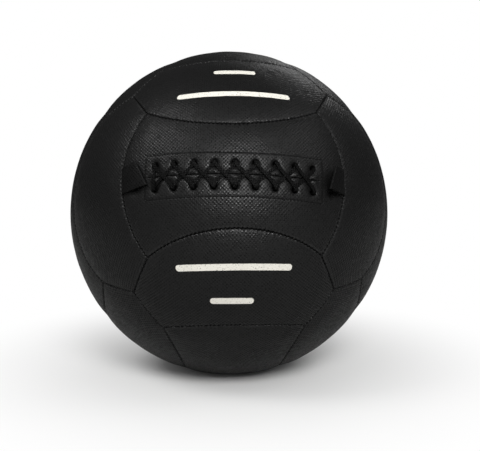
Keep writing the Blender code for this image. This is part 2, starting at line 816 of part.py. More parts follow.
def bag_tie():
    """The string tied round the bag's waist, as a ring."""
    thick = TIE_DIAMETER / 2
    radius = NECK_WAIST + CLEARANCE + thick
    bm = bmesh.new()
    rows = []
    for j in range(TIE_SIDES):
        turn = 2 * math.pi * j / TIE_SIDES
        ring = collar_ring(radius + thick * math.cos(turn), WAIST_PLACE + thick * math.sin(turn))
        rows.append([bm.verts.new(place) for place in ring])
    for j in range(TIE_SIDES):
        for k in range(RING_STEPS):
            n, m = (k + 1) % RING_STEPS, (j + 1) % TIE_SIDES
            bm.faces.new([rows[j][k], rows[j][n], rows[m][n], rows[m][k]])
    object_of("bag_tie", bm, STRING)


def main():
    for obj in list(bpy.data.objects):
        bpy.data.objects.remove(obj, do_unlink=True)
    panels = cover()
    openings = lacing_openings()
    cut_from(panels["laced_panel"], openings)
    behind_the_slit(openings)
    lace()
    tab("left_tab", -1, LEFT_TAB_LEVEL, LEFT_TAB_LIFT_ANGLE, LEFT_TAB_RISE)
    tab("right_tab", 1, RIGHT_TAB_LEVEL, RIGHT_TAB_LIFT_ANGLE, RIGHT_TAB_RISE)
    lining()
    filling()
    weighted_bag()
    bag_tie()
    print("centre of the ball at height", round(CENTRE_HEIGHT, 5))


main()
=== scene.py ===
"""Looks of a laced wall ball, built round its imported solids.

Every cover panel is a sheet of coated fabric on the same seam layout as the solids, with turned lips,
stitches, puckers and a woven finish. The lacing, the end tabs and what lies behind the slit are modelled
the same way. The ball lies rolled back, so that its laced panel faces -Y and looks up a little. Metres
throughout, +Z up.
"""

import json
import logging
import math
from collections.abc import Sequence
from dataclasses import dataclass, field, replace
from enum import Enum
from functools import cached_property

import bpy
import numpy as np
from mathutils import Matrix, Vector


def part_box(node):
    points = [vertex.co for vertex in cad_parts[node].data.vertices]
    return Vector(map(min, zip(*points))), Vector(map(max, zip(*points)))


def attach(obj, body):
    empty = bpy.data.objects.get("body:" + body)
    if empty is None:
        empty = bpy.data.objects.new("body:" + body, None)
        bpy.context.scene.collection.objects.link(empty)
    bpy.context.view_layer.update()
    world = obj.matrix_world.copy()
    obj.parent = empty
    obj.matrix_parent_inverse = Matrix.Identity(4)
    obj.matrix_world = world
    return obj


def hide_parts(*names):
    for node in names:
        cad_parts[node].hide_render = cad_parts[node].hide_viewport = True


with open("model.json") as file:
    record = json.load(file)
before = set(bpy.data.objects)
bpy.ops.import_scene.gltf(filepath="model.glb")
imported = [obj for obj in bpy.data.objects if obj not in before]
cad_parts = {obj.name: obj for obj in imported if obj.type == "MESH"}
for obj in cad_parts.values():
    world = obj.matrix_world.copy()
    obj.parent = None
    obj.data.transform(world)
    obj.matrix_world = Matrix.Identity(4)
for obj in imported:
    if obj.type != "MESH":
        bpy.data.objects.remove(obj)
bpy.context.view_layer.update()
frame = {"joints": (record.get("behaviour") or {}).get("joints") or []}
LOG = logging.getLogger("wall_ball")
MM = 0.001
Array = np.ndarray
Piece = bpy.types.Object
Finish = bpy.types.Material
Tree = bpy.types.NodeTree
Socket = bpy.types.NodeSocket


def unit(vectors: Array) -> Array:
    """Vectors of length one in the same directions."""
    return vectors / np.linalg.norm(vectors, axis=-1, keepdims=True)


def square_to(axes: Array, vectors: Array) -> Array:
    """Unit vectors along what each vector has at right angles to its axis."""
    return unit(vectors - axes * (vectors * axes).sum(axis=1)[:, None])


def lie_of_ball() -> Array:
    """How the ball lies: its right, its front and its top as the rows of a matrix.

    The right tab folds about a line that points at the top panel.

    Returns:
        The matrix.
    """
    hinge = next(joint for joint in frame["joints"] if joint["name"] == "right_tab_fold")
    right = np.array([1.0, 0.0, 0.0])
    top = unit(np.array(hinge["axis"], float))
    return np.stack([right, np.cross(right, top), top])


LIE = lie_of_ball()


class Facing(Enum):
    """The six directions that the four-sided panels face, as shares of the ball's right, front and top."""

    FRONT = (0, 1, 0)
    REAR = (0, -1, 0)
    LEFT = (-1, 0, 0)
    RIGHT = (1, 0, 0)
    TOP = (0, 0, 1)
    BOTTOM = (0, 0, -1)

    @property
    def vector(self) -> Array:
        """The direction as a unit vector in the scene."""
        return np.array(self.value, float) @ LIE


def bell(distance: Array, width: float) -> Array:
    """A smooth bump of height one at distance nought, this wide."""
    return np.exp(-((distance / width) ** 2))


def ripple(run: Array, length: float) -> Array:
    """A wave between minus one and one, with its top at nought."""
    return np.cos(2 * math.pi * run / length)


def spokes(turns: Array) -> Array:
    """Unit vectors at these angles round the line from the ball's rear to its front."""
    return np.stack([np.cos(turns), np.zeros(len(turns)), np.sin(turns)], axis=1) @ LIE


def evenly(points: Array, step: float) -> tuple[Array, Array]:
    """Points an even step apart along a line of points.

    Args:
        points: the line's points.
        step: distance between the new points.

    Returns:
        The new points, and how far along the line each one lies.
    """
    gaps = np.linalg.norm(np.diff(points, axis=0), axis=1)
    run = np.concatenate([[0], np.cumsum(gaps)])
    wanted = np.linspace(0, run[-1], round(run[-1] / step))
    return np.stack([np.interp(wanted, run, values) for values in points.T], axis=1), wanted


# Form of the ball


@dataclass(frozen=True)
class BallForm:
    """The round that the cover follows, pressed flat where it stands.

    Attributes:
        half_width: half the width across X and Y.
        half_height: half the height, as if the ball were not pressed flat.
        centre_height: height of the middle over the floor.
    """

    half_width: float
    half_height: float
    centre_height: float

    @classmethod
    def of_frame(cls, tallness: float = 1.01816, contact: float = 0.23837) -> "BallForm":
        """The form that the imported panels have.

        Args:
            tallness: height over width, before the ball is pressed flat.
            contact: width of the flat over the width of the ball.

        Returns:
            The form.
        """
        half_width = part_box("right_panel")[1].x
        half_height = half_width * tallness
        return cls(half_width, half_height, half_height * math.sqrt(1 - contact**2))

    @property
    def centre(self) -> Array:
        """Middle of the ball."""
        return np.array([0, 0, self.centre_height])

    @property
    def reach(self) -> Array:
        """Half the size along X, Y and Z."""
        return np.array([self.half_width, self.half_width, self.half_height])

    def place(self, directions: Array, depth: Array | float = 0.0) -> Array:
        """Points in these directions, this deep under the cover's nominal surface.

        Args:
            directions: unit vectors from the middle.
            depth: how deep each point lies, negative over the surface.

        Returns:
            The points.
        """
        deep = np.broadcast_to(np.asarray(depth, float), directions.shape[:-1])
        return directions * (self.reach - deep[..., None]) + self.centre

    def directions_to(self, points: Array, depth: float = 0.0) -> Array:
        """Unit vectors towards these points."""
        return unit((points - self.centre) / (self.reach - depth))


BALL = BallForm.of_frame()


# Seam layout


@dataclass(frozen=True)
class Seam:
    """One seam, an arc of a circle on the unit ball."""

    start: Array
    middle: Array
    end: Array

    @cached_property
    def axis(self) -> Array:
        """Axis of the circle that the seam lies on."""
        return unit(np.cross(self.end - self.start, self.middle - self.start))

    @cached_property
    def spread(self) -> float:
        """Angle between the axis and the seam."""
        return math.acos(float(self.start @ self.axis))

    @cached_property
    def across(self) -> Array:
        """Unit vector from the circle's centre to the start."""
        return unit(self.start - self.axis * (self.start @ self.axis))

    def turn(self, directions: Array) -> Array:
        """Angle round the axis from the start, from nought to a full turn."""
        along = np.cross(self.axis, self.across)
        return np.arctan2(directions @ along, directions @ self.across) % (2 * math.pi)

    @cached_property
    def sweep(self) -> float:
        """Angle round the axis from start to end, by way of the middle."""
        full = float(self.turn(self.end))
        return full if float(self.turn(self.middle)) <= full else full - 2 * math.pi

    @cached_property
    def length(self) -> float:
        """Length along the cover."""
        return abs(self.sweep) * math.sin(self.spread) * BALL.half_width

    def points(self, shares: Array) -> Array:
        """Unit vectors at these shares of the way along.

        Args:
            shares: the shares.

        Returns:
            The unit vectors.
        """
        angles = self.sweep * np.asarray(shares, float)[..., None]
        along = np.cross(self.axis, self.across)
        rim = np.cos(angles) * self.across + np.sin(angles) * along
        return math.cos(self.spread) * self.axis + math.sin(self.spread) * rim

    def share_of(self, directions: Array) -> Array:
        """Share of the way along at which each direction lies beside the seam.

        Args:
            directions: the directions.

        Returns:
            The shares.
        """
        angle = self.turn(directions)
        if self.sweep < 0:
            angle = -((-angle) % (2 * math.pi))
        past = np.abs(angle) > math.pi + abs(self.sweep) / 2
        return (angle - past * math.copysign(2 * math.pi, self.sweep)) / self.sweep

    def distance(self, directions: Array) -> Array:
        """Distance from the seam along the cover.

        Args:
            directions: the directions.

        Returns:
            The distances.
        """
        side = np.abs(np.arccos(np.clip(directions @ self.axis, -1, 1)) - self.spread)
        ends = np.stack([directions @ self.start, directions @ self.end])
        nearest_end = np.arccos(np.clip(ends, -1, 1)).min(axis=0)
        share = self.share_of(directions)
        beside = (share >= 0) & (share <= 1)
        return np.where(beside, side, nearest_end) * BALL.half_width

    def away(self, directions: Array, inside: Array) -> Array:
        """Unit vectors along the cover, away from the seam and towards the side where inside lies.

        Args:
            directions: where each vector starts.
            inside: a direction on that side.

        Returns:
            The unit vectors.
        """
        sign = 1.0 if float(inside @ self.axis) < math.cos(self.spread) else -1.0
        leaning = directions * (directions @ self.axis)[..., None] - self.axis
        return sign * unit(leaning)


@dataclass(frozen=True)
class SeamPlan:
    """Where the seams run, as angles from a four-sided panel's own axis.

    Attributes:
        long_corner: from the axis to a corner, along the panel's long axis.
        short_corner: from the axis to a corner, along the panel's short axis.
        bulge: from the axis to the middle of a long end.
        waist: from the axis to the middle of a side.
    """

    long_corner: float = math.radians(32.5)
    short_corner: float = math.radians(28.4)
    bulge: float = math.radians(39.0)
    waist: float = math.radians(17.0)

    def corner(self, normal: Array, long_axis: Array, short_axis: Array) -> Array:
        """Corner of the four-sided panel on this axis, on the side that the signed axes point to."""
        lean = math.tan(self.long_corner) * long_axis + math.tan(self.short_corner) * short_axis
        return unit(normal + lean)

    def bulging(self, normal: Array, long_axis: Array, short_axis: Array) -> Seam:
        """Long-end seam of a four-sided panel, which swells outward.

        Args:
            normal: the panel's axis.
            long_axis: axis that the end lies on.
            short_axis: axis that it runs along.

        Returns:
            The seam.
        """
        return Seam(
            self.corner(normal, long_axis, -short_axis),
            math.cos(self.bulge) * normal + math.sin(self.bulge) * long_axis,
            self.corner(normal, long_axis, short_axis),
        )

    def waisted(self, normal: Array, long_axis: Array, short_axis: Array) -> Seam:
        """Side seam of a four-sided panel, which draws in at its middle.

        Args:
            normal: the panel's axis.
            long_axis: axis that the side runs along.
            short_axis: axis that it lies on.

        Returns:
            The seam.
        """
        return Seam(
            self.corner(normal, -long_axis, short_axis),
            math.cos(self.waist) * normal + math.sin(self.waist) * short_axis,
            self.corner(normal, long_axis, short_axis),
        )

    @staticmethod
    def short(start: Array, end: Array) -> Seam:
        """Straight seam between two corners."""
        return Seam(start, unit(start + end), end)


Side = tuple[Seam, ...]


def side_points(side: Side, shares: Array) -> Array:
    """Unit vectors at these shares along a side of one seam, or of two seams that meet halfway.

    Args:
        side: the side.
        shares: shares of the way along it.

    Returns:
        The unit vectors.
    """
    if len(side) == 1:
        return side[0].points(shares)
    rise = side[0].points(np.clip(2 * shares, 0, 1))
    fall = side[1].points(np.clip(2 - 2 * shares, 0, 1))
    return np.where((shares <= 0.5)[..., None], rise, fall)


def graded(length: float, first: float, usual: float, growth: float = 1.3) -> Array:
    """Shares of a length that stand close together at both ends.

    Args:
        length: the whole length.
        first: step at each end.
        usual: step in the middle.
        growth: how much each step grows towards the middle.

    Returns:
        Rising shares from nought to one.
    """
    steps = [first]
    while steps[-1] * growth < usual:
        steps.append(steps[-1] * growth)
    rest = length - 2 * sum(steps)
    count = max(2, round(rest / usual))
    steps = steps + [rest / count] * count + steps[::-1]
    return np.concatenate([[0], np.cumsum(steps)]) / length


# Meshes


def deselect() -> None:
    """Leaves nothing selected and nothing in edit mode."""
    if bpy.context.object and bpy.context.object.mode != "OBJECT":
        bpy.ops.object.mode_set(mode="OBJECT")
    bpy.ops.object.select_all(action="DESELECT")


def alone(obj: Piece) -> None:
    """Selects this object and no other.

    Args:
        obj: the object.
    """
    deselect()
    obj.select_set(True)
    bpy.context.view_layer.objects.active = obj


def grid_piece(name: str, columns: int, rows: int) -> tuple[Piece, Array, Array]:
    """A flat grid, with the column and the row of each vertex.

    Args:
        name: the piece's name.
        columns: faces along the first direction.
        rows: faces along the second direction.

    Returns:
        The object, each vertex's column and each vertex's row.
    """
    deselect()
    bpy.ops.mesh.primitive_grid_add(x_subdivisions=columns, y_subdivisions=rows, size=1)
    obj = bpy.context.object
    obj.name = obj.data.name = name
    column, row = np.rint((coordinates(obj)[:, :2] + 0.5) * (columns, rows)).astype(int).T
    return obj, column, row


def coordinates(obj: Piece) -> Array:
    """The vertices' coordinates.

    Args:
        obj: the piece.

    Returns:
        One row for each vertex.
    """
    flat = np.zeros(len(obj.data.vertices) * 3)
    obj.data.vertices.foreach_get("co", flat)
    return flat.reshape(-1, 3)


def set_coordinates(obj: Piece, points: Array) -> None:
    """Moves the vertices to these points."""
    obj.data.vertices.foreach_set("co", points.ravel())
    obj.data.update()


def set_cloth_map(obj: Piece, flat: Array) -> None:
    """Gives the piece a UV map in metres of cloth.

    Args:
        obj: the piece.
        flat: the place of each vertex on the flat cloth.
    """
    layer = obj.data.uv_layers.get("cloth") or obj.data.uv_layers.new(name="cloth")
    corners = np.zeros(len(obj.data.loops), dtype=int)
    obj.data.loops.foreach_get("vertex_index", corners)
    layer.data.foreach_set("uv", flat[corners].astype(np.float32).ravel())
    for other in [x for x in obj.data.uv_layers if x.name != "cloth"]:
        obj.data.uv_layers.remove(other)


def set_measure(obj: Piece, name: str, values: Array) -> None:
    """Stores one number for each vertex, for the material to read."""
    layer = obj.data.attributes.new(name, "FLOAT", "POINT")
    layer.data.foreach_set("value", values.astype(np.float32))


def face_outward(obj: Piece) -> None:
    """Turns an open sheet's faces away from the ball's middle.

    Args:
        obj: the sheet.
    """
    face = obj.data.polygons[len(obj.data.polygons) // 2]
    if (np.array(face.center) - BALL.centre) @ np.array(face.normal) < 0:
        obj.data.flip_normals()


def applied(obj: Piece, kind: str, **settings: object) -> None:
    """Adds a modifier with these settings and applies it.

    Args:
        obj: the piece.
        kind: the modifier's type.
        settings: its settings.
    """
    alone(obj)
    modifier = obj.modifiers.new(kind.lower(), kind)
    for name, value in settings.items():
        setattr(modifier, name, value)
    bpy.ops.object.modifier_apply(modifier=modifier.name)


def delete_faces(obj: Piece, chosen: Array) -> None:
    """Deletes the faces that are marked true.

    Args:
        obj: the piece.
        chosen: true for each face that goes.
    """
    alone(obj)
    bpy.context.tool_settings.mesh_select_mode = (False, False, True)
    for parts in (obj.data.vertices, obj.data.edges):
        parts.foreach_set("select", np.zeros(len(parts), dtype=bool))
    obj.data.polygons.foreach_set("select", chosen)
    bpy.ops.object.mode_set(mode="EDIT")
    bpy.ops.mesh.delete(type="FACE")
    bpy.ops.object.mode_set(mode="OBJECT")


def thread_bars(name: str, size: Sequence[float], places: Array, axes: Array) -> Piece:
    """One piece made of many short round bars of thread.

    Args:
        name: the piece's name.
        size: a bar's width, height and length.
        places: where each bar's middle goes.
        axes: the directions of its width, height and length, one to a row.

    Returns:
        The piece.
    """
    deselect()
    bpy.ops.mesh.primitive_uv_sphere_add(segments=6, ring_count=6, radius=0.5)
    model = bpy.context.object
    points = coordinates(model) * np.array(size)
    faces = [tuple(face.vertices) for face in model.data.polygons]
    bpy.data.objects.remove(model)
    turned = np.einsum("pk,nkc->npc", points, axes) + places[:, None, :]
    count = len(points)
    rings = [tuple(k * count + v for v in face) for k in range(len(places)) for face in faces]
    mesh = bpy.data.meshes.new(name)
    mesh.from_pydata(turned.reshape(-1, 3), [], rings)
    piece = bpy.data.objects.new(name, mesh)
    bpy.context.scene.collection.objects.link(piece)
    return piece


@dataclass(frozen=True)
class Unevenness:
    """A smooth, seeded field of soft lumps.

    The shortest and the longest are its wavelengths, and the height is that of a usual lump.
    """

    seed: int
    height: float
    shortest: float
    longest: float
    waves: int = 28

    def at(self, points: Array) -> Array:
        """Height of the field at these points.

        Args:
            points: the points.

        Returns:
            The heights.
        """
        draw = np.random.default_rng(self.seed)
        ways = unit(draw.normal(size=(self.waves, 3)))
        lengths = draw.uniform(self.shortest, self.longest, self.waves)
        starts = draw.uniform(0, 2 * math.pi, self.waves)
        phases = points @ (ways * (2 * math.pi / lengths)[:, None]).T + starts
        return self.height * np.cos(phases).sum(axis=1) * math.sqrt(2 / self.waves)


# Materials


def linear(colour: str) -> tuple[float, float, float, float]:
    """Linear colour of an sRGB hex value.

    Args:
        colour: the value, with its hash sign.

    Returns:
        Red, green, blue and alpha.
    """
    parts = [int(colour[k : k + 2], 16) / 255 for k in (1, 3, 5)]
    red, green, blue = (p / 12.92 if p <= 0.04045 else ((p + 0.055) / 1.055) ** 2.4 for p in parts)
    return red, green, blue, 1.0


def add(
    tree: Tree,
    kind: str,
    inputs: dict[int | str, object] | None = None,
    **settings: object,
) -> bpy.types.Node:
    """Adds a node.

    Args:
        tree: the material's or the world's node tree.
        kind: the node's type.
        inputs: what goes into its sockets, by name or number: a value, or the socket that feeds it.
        settings: its other settings.

    Returns:
        The node.
    """
    node = tree.nodes.new(kind)
    for name, value in settings.items():
        setattr(node, name, value)
    for key, value in (inputs or {}).items():
        if isinstance(value, Socket):
            tree.links.new(value, node.inputs[key])
        else:
            node.inputs[key].default_value = value
    return node


def reckon(tree: Tree, operation: str, *values: object) -> Socket:
    """Result of one step of arithmetic on numbers or sockets."""
    return add(tree, "ShaderNodeMath", dict(enumerate(values)), operation=operation).outputs[0]


def blank_material(name: str) -> tuple[Finish, Tree, Socket]:
    """A material with nothing in it but its output and the place of each point on the piece.

    Args:
        name: the material's name.

    Returns:
        The material, its node tree and the socket that gives the place.
    """
    made = bpy.data.materials.new(name)
    made.use_nodes = True
    tree = made.node_tree
    tree.nodes.clear()
    add(tree, "ShaderNodeOutputMaterial")
    return made, tree, add(tree, "ShaderNodeTexCoord").outputs["Object"]


def finish_with(tree: Tree, shader: bpy.types.Node) -> None:
    """Links a shader to the material's output."""
    out = next(node for node in tree.nodes if node.bl_idname == "ShaderNodeOutputMaterial")
    tree.links.new(shader.outputs[0], out.inputs["Surface"])


def surfaced(
    made: Finish,
    share: Socket,
    colours: tuple[object, object],
    relief: dict[str, object],
    shading: dict[str, object],
) -> Finish:
    """Ends a material with two blended colours and a relief under one shader.

    Args:
        made: the material.
        share: share of the second colour at each place.
        colours: both colours, each a value or a socket.
        relief: strength, distance and height of the relief.
        shading: what the shader takes besides its colour and its normal.

    Returns:
        The material.
    """
    tree = made.node_tree
    shade = add(tree, "ShaderNodeMix", {"Factor": share, 6: colours[0], 7: colours[1]}, data_type="RGBA")
    bump = add(tree, "ShaderNodeBump", relief)
    inputs = {"Base Color": shade.outputs[2], "Normal": bump.outputs[0], **shading}
    finish_with(tree, add(tree, "ShaderNodeBsdfPrincipled", inputs))
    return made


@dataclass(frozen=True)
class CoatedFabric:
    """Polyester weave under a thin matt vinyl coat: near black, with a faint gleam on every thread crown from
    its lower roughness, helped by a painted sheen in the crowns' lighter colour and painted shade in the
    darker gaps between them.

    Attributes:
        name: the material's name.
        gap_shade: colour of the coat between the threads, darkened as painted shade in the gaps.
        crown: colour of the coat on the threads, lightened as a painted sheen on the crowns.
        pitch: spacing of the threads, which cross over and under each other.
        weave_height: height of the crowns.
        roughness: usual roughness of the coat.
        gloss: strength of its reflection.
        chafe: colour of the coat where it is rubbed, along the lips of the seams.
    """

    name: str = "coated_fabric"
    gap_shade: str = "#040404"
    crown: str = "#181818"
    pitch: float = 1.9 * MM
    weave_height: float = 0.14 * MM
    roughness: float = 0.78
    gloss: float = 0.25
    chafe: str = "#1f1f1f"

    def crowns(self, tree: Tree) -> Socket:
        """Height of the thread crowns, from nought to about one, uneven from crown to crown.

        Args:
            tree: the material's nodes.

        Returns:
            The socket that gives it.
        """
        cloth = add(tree, "ShaderNodeUVMap", uv_map="cloth")
        parts = add(tree, "ShaderNodeSeparateXYZ", {0: cloth.outputs[0]})
        x, y = (reckon(tree, "DIVIDE", parts.outputs[k], self.pitch) for k in (0, 1))
        cell = add(tree, "ShaderNodeCombineXYZ", {0: reckon(tree, "FLOOR", x), 1: reckon(tree, "FLOOR", y)})
        chance = add(tree, "ShaderNodeTexWhiteNoise", {0: cell.outputs[0]}).outputs["Value"]
        across, up = (reckon(tree, "SINE", reckon(tree, "MULTIPLY", k, math.pi)) for k in (x, y))
        over = reckon(tree, "MULTIPLY", across, up)
        uneven = reckon(tree, "MULTIPLY", over, reckon(tree, "MULTIPLY_ADD", chance, 1.1, 0.1))
        return reckon(tree, "ADD", uneven, 0.5)

    def material(self) -> Finish:
        """Builds the material.

        Returns:
            The material.
        """
        made, tree, place = blank_material(self.name)
        crowns = self.crowns(tree)
        grain = add(tree, "ShaderNodeTexNoise", {"Vector": place, "Scale": 1100.0, "Detail": 1.0})
        mottle = add(tree, "ShaderNodeTexNoise", {"Vector": place, "Scale": 90.0, "Detail": 3.0})
        height = reckon(tree, "MULTIPLY_ADD", grain.outputs[0], 0.8, crowns)
        # the crowns blend the gap colour, painted shade, into the crown colour, a painted sheen, by a share
        # that varies at random from crown to crown
        colours = {"Factor": crowns, 6: linear(self.gap_shade), 7: linear(self.crown)}
        shade = add(tree, "ShaderNodeMix", colours, data_type="RGBA")
        rub = add(tree, "ShaderNodeAttribute", attribute_name="rub").outputs["Fac"]
        chafed = reckon(tree, "MULTIPLY", rub, reckon(tree, "MULTIPLY_ADD", mottle.outputs[0], 3.0, -0.9))
        worn = reckon(tree, "MULTIPLY_ADD", mottle.outputs[0], 0.12, self.roughness - 0.06)
        worn = reckon(tree, "MULTIPLY_ADD", chafed, -0.12, worn)
        rough = reckon(tree, "MULTIPLY_ADD", crowns, -0.56, worn)
        relief = {"Strength": 1.0, "Distance": self.weave_height, "Height": height}
        shading = {"Roughness": rough, "Specular IOR Level": self.gloss}
        return surfaced(made, chafed, (shade.outputs[2], linear(self.chafe)), relief, shading)


@dataclass(frozen=True)
class WovenFabric:
    """Bare woven cloth or loose textile: matt, with threads or fibres that catch the light.

    Loose tells how far the threads are broken up into fibres, from nought to one.
    """

    name: str
    dark: str
    light: str
    pitch: float
    height: float
    roughness: float = 0.9
    loose: float = 0.2

    def material(self) -> Finish:
        """Builds the material.

        Returns:
            The material.
        """
        made, tree, place = blank_material(self.name)
        cloth = add(tree, "ShaderNodeUVMap", uv_map="cloth")
        parts = add(tree, "ShaderNodeSeparateXYZ", {0: cloth.outputs[0]})
        wide = math.pi / self.pitch
        waves = [reckon(tree, "SINE", reckon(tree, "MULTIPLY", parts.outputs[k], wide)) for k in (0, 1)]
        weave = reckon(tree, "ABSOLUTE", reckon(tree, "MULTIPLY", *waves))
        broken = {"Vector": place, "Scale": 0.5 / self.pitch, "Detail": 8.0, "Roughness": 0.7}
        fibre = add(tree, "ShaderNodeTexNoise", broken)
        mixed = add(tree, "ShaderNodeMix", {0: self.loose, 2: weave, 3: fibre.outputs[0]}, data_type="FLOAT")
        relief = {"Strength": 1.0, "Distance": self.height, "Height": mixed.outputs[0]}
        shading = {"Roughness": self.roughness, "Specular IOR Level": 0.2}
        return surfaced(made, mixed.outputs[0], (linear(self.dark), linear(self.light)), relief, shading)


@dataclass(frozen=True)
class Thread:
    """Black polyester sewing thread, matt, with the fine twist of its strands."""

    name: str = "sewing_thread"
    strand: str = "#080808"
    bright: str = "#171717"
    twist_pitch: float = 0.5 * MM

    def material(self) -> Finish:
        """Builds the material.

        Returns:
            The material.
        """
        made, tree, place = blank_material(self.name)
        strands = {"Vector": place, "Scale": 0.5 / self.twist_pitch, "Distortion": 2.0}
        twist = add(tree, "ShaderNodeTexWave", strands, bands_direction="DIAGONAL").outputs["Fac"]
        relief = {"Strength": 0.8, "Distance": 0.1 * MM, "Height": twist}
        shading = {"Roughness": 0.8, "Specular IOR Level": 0.12}
        return surfaced(made, twist, (linear(self.strand), linear(self.bright)), relief, shading)


@dataclass(frozen=True)
class Ink:
    """Raised off-white printing ink, a little worn where the weave's crowns come through."""

    name: str = "raised_ink"
    colour: str = "#e9e6dc"
    worn: str = "#8d8b84"
    roughness: float = 0.55

    def material(self) -> Finish:
        """Builds the material.

        Returns:
            The material.
        """
        made, tree, place = blank_material(self.name)
        crazing = add(tree, "ShaderNodeTexNoise", {"Vector": place, "Scale": 700.0, "Detail": 3.0})
        cracks = {"Value": crazing.outputs[0], "From Min": 0.58, "From Max": 0.72}
        worn = add(tree, "ShaderNodeMapRange", cracks)
        relief = {"Strength": 0.6, "Distance": 0.08 * MM, "Height": crazing.outputs[0]}
        colours = linear(self.colour), linear(self.worn)
        return surfaced(made, worn.outputs[0], colours, relief, {"Roughness": self.roughness})


@dataclass(frozen=True)
class IronShot:
    """Small iron shot, dull grey with a little rust between the grains."""

    name: str = "iron_shot"
    iron: str = "#4a4a4c"
    rust: str = "#4a3326"

    def material(self) -> Finish:
        """Builds the material.

        Returns:
            The material.
        """
        made, tree, place = blank_material(self.name)
        grains = add(tree, "ShaderNodeTexVoronoi", {"Vector": place, "Scale": 280.0})
        patches = add(tree, "ShaderNodeTexNoise", {"Vector": place, "Scale": 60.0, "Detail": 4.0})
        spots = {"Value": patches.outputs[0], "From Min": 0.5, "From Max": 0.7}
        rusty = add(tree, "ShaderNodeMapRange", spots)
        relief = {"Strength": 1.0, "Distance": -1.2 * MM, "Height": grains.outputs["Distance"]}
        shading = {"Metallic": 0.7, "Roughness": 0.5}
        return surfaced(made, rusty.outputs[0], (linear(self.iron), linear(self.rust)), relief, shading)


def dress(piece: Piece, material: Finish, body: str = "root", sharp: float = 50) -> None:
    """Shades a piece smooth, gives it its finish and its body, and reports it.

    Args:
        piece: the piece.
        material: its finish.
        body: the body that it moves with.
        sharp: angle in degrees between faces from which an edge stays sharp.
    """
    alone(piece)
    bpy.ops.object.shade_smooth_by_angle(angle=math.radians(sharp))
    piece.data.materials.clear()
    piece.data.materials.append(material)
    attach(piece, body)
    LOG.info("%s: %s, %d faces", piece.name, material.name, len(piece.data.polygons))


# Cover


@dataclass(frozen=True)
class Sewing:
    """How the panels are sewn inside out, so that every seam allowance turns into the ball.

    Attributes:
        stitch_pitch: spacing of the stitches.
        lip_radius: radius at which the cloth turns in at a stitch.
        puffed_radius: the same halfway between two stitches, where the cloth puffs up.
        allowance: how deep the seam allowance reaches.
        gap: space between two panels at their seam.
        pit: how much wider it is at a stitch, where the thread draws the cloth into a pit.
        lean: how far one panel's side of a pit lies ahead of the other's, as a share of the pitch.
        crown_dip: how far the filling's crown falls away at a seam.
        crown_width: how far from the seam the crown starts to fall.
        cloth: thickness of the cloth.
        pull: how far a stitch pulls the cloth in beside the seam.
        pull_width: how far from the seam that pull reaches.
        gather: usual depth of the gathers that run off a seam.
        gather_reach: how far from the seam they die away.
        gather_lengths: their wavelengths along the seam.
    """

    stitch_pitch: float = 4.22 * MM
    lip_radius: float = 1.8 * MM
    puffed_radius: float = 0.5 * MM
    allowance: float = 8.6 * MM
    gap: float = 0.12 * MM
    pit: float = 1.2 * MM
    lean: float = 0.3
    crown_dip: float = 1.2 * MM
    crown_width: float = 22 * MM
    cloth: float = 1.2 * MM
    pull: float = 0.75 * MM
    pull_width: float = 2.6 * MM
    gather: float = 0.075 * MM
    gather_reach: float = 8 * MM
    gather_lengths: tuple[float, ...] = (8.4 * MM, 13.1 * MM, 21.7 * MM)

    def stitches_on(self, seam: Seam) -> int:
        """How many stitches the seam holds."""
        return max(2, round(seam.length / self.stitch_pitch))

    def held(self, seam: Seam, directions: Array, inside: Array) -> Array:
        """How firmly a panel is held at each place: one at a stitch, nought halfway to the next.

        Args:
            seam: the seam.
            directions: unit vectors of the places.
            inside: unit vector of the panel's middle.

        Returns:
            The shares.
        """
        count = self.stitches_on(seam)
        share = np.clip(seam.share_of(directions), 0, 1)
        ahead = math.copysign(self.lean / 2, float(inside @ seam.axis) - math.cos(seam.spread))
        ahead = ahead * np.sin(math.pi * share) ** 0.25
        return 0.5 - 0.5 * np.cos(2 * math.pi * (share * count + ahead))

    def half_gap(self, held: Array) -> Array:
        """Space between the seam and the edge of a panel that is held this firmly."""
        return (self.gap + self.pit * held**1.5) / 2

    def depth_at(self, seam: Seam, directions: Array, distance: Array, inside: Array) -> Array:
        """How far the cover lies under its crown beside a seam.

        Args:
            seam: the nearest seam.
            directions: unit vectors of the places.
            distance: distance of each from the seam.
            inside: unit vector of the panel's middle.

        Returns:
            The depths: the crown that falls away, the turned lip, the stitches' pull and the gathers.
        """
        share = np.clip(seam.share_of(directions), 0, 1)
        held = self.held(seam, directions, inside)
        crown = self.crown_dip * np.clip(1 - distance / self.crown_width, 0, 1) ** 2
        radius = self.puffed_radius + (self.lip_radius - self.puffed_radius) * held
        reach = np.clip(radius - distance + self.half_gap(held), 0, radius)
        lip = radius - np.sqrt(radius**2 - reach**2)
        # each seam has gathers of its own, the same for both of its panels
        start = float(np.abs(seam.middle) @ np.array([3.1, 5.3, 7.7]))
        turns = 2 * math.pi * (share - 0.5) * seam.length
        gathers = sum(np.cos(turns / wave + start * k) for k, wave in enumerate(self.gather_lengths, 1))
        gathers = self.gather * gathers * np.exp(-distance / self.gather_reach)
        return crown + lip + self.pull * (held - 0.25) * bell(distance, self.pull_width) + gathers


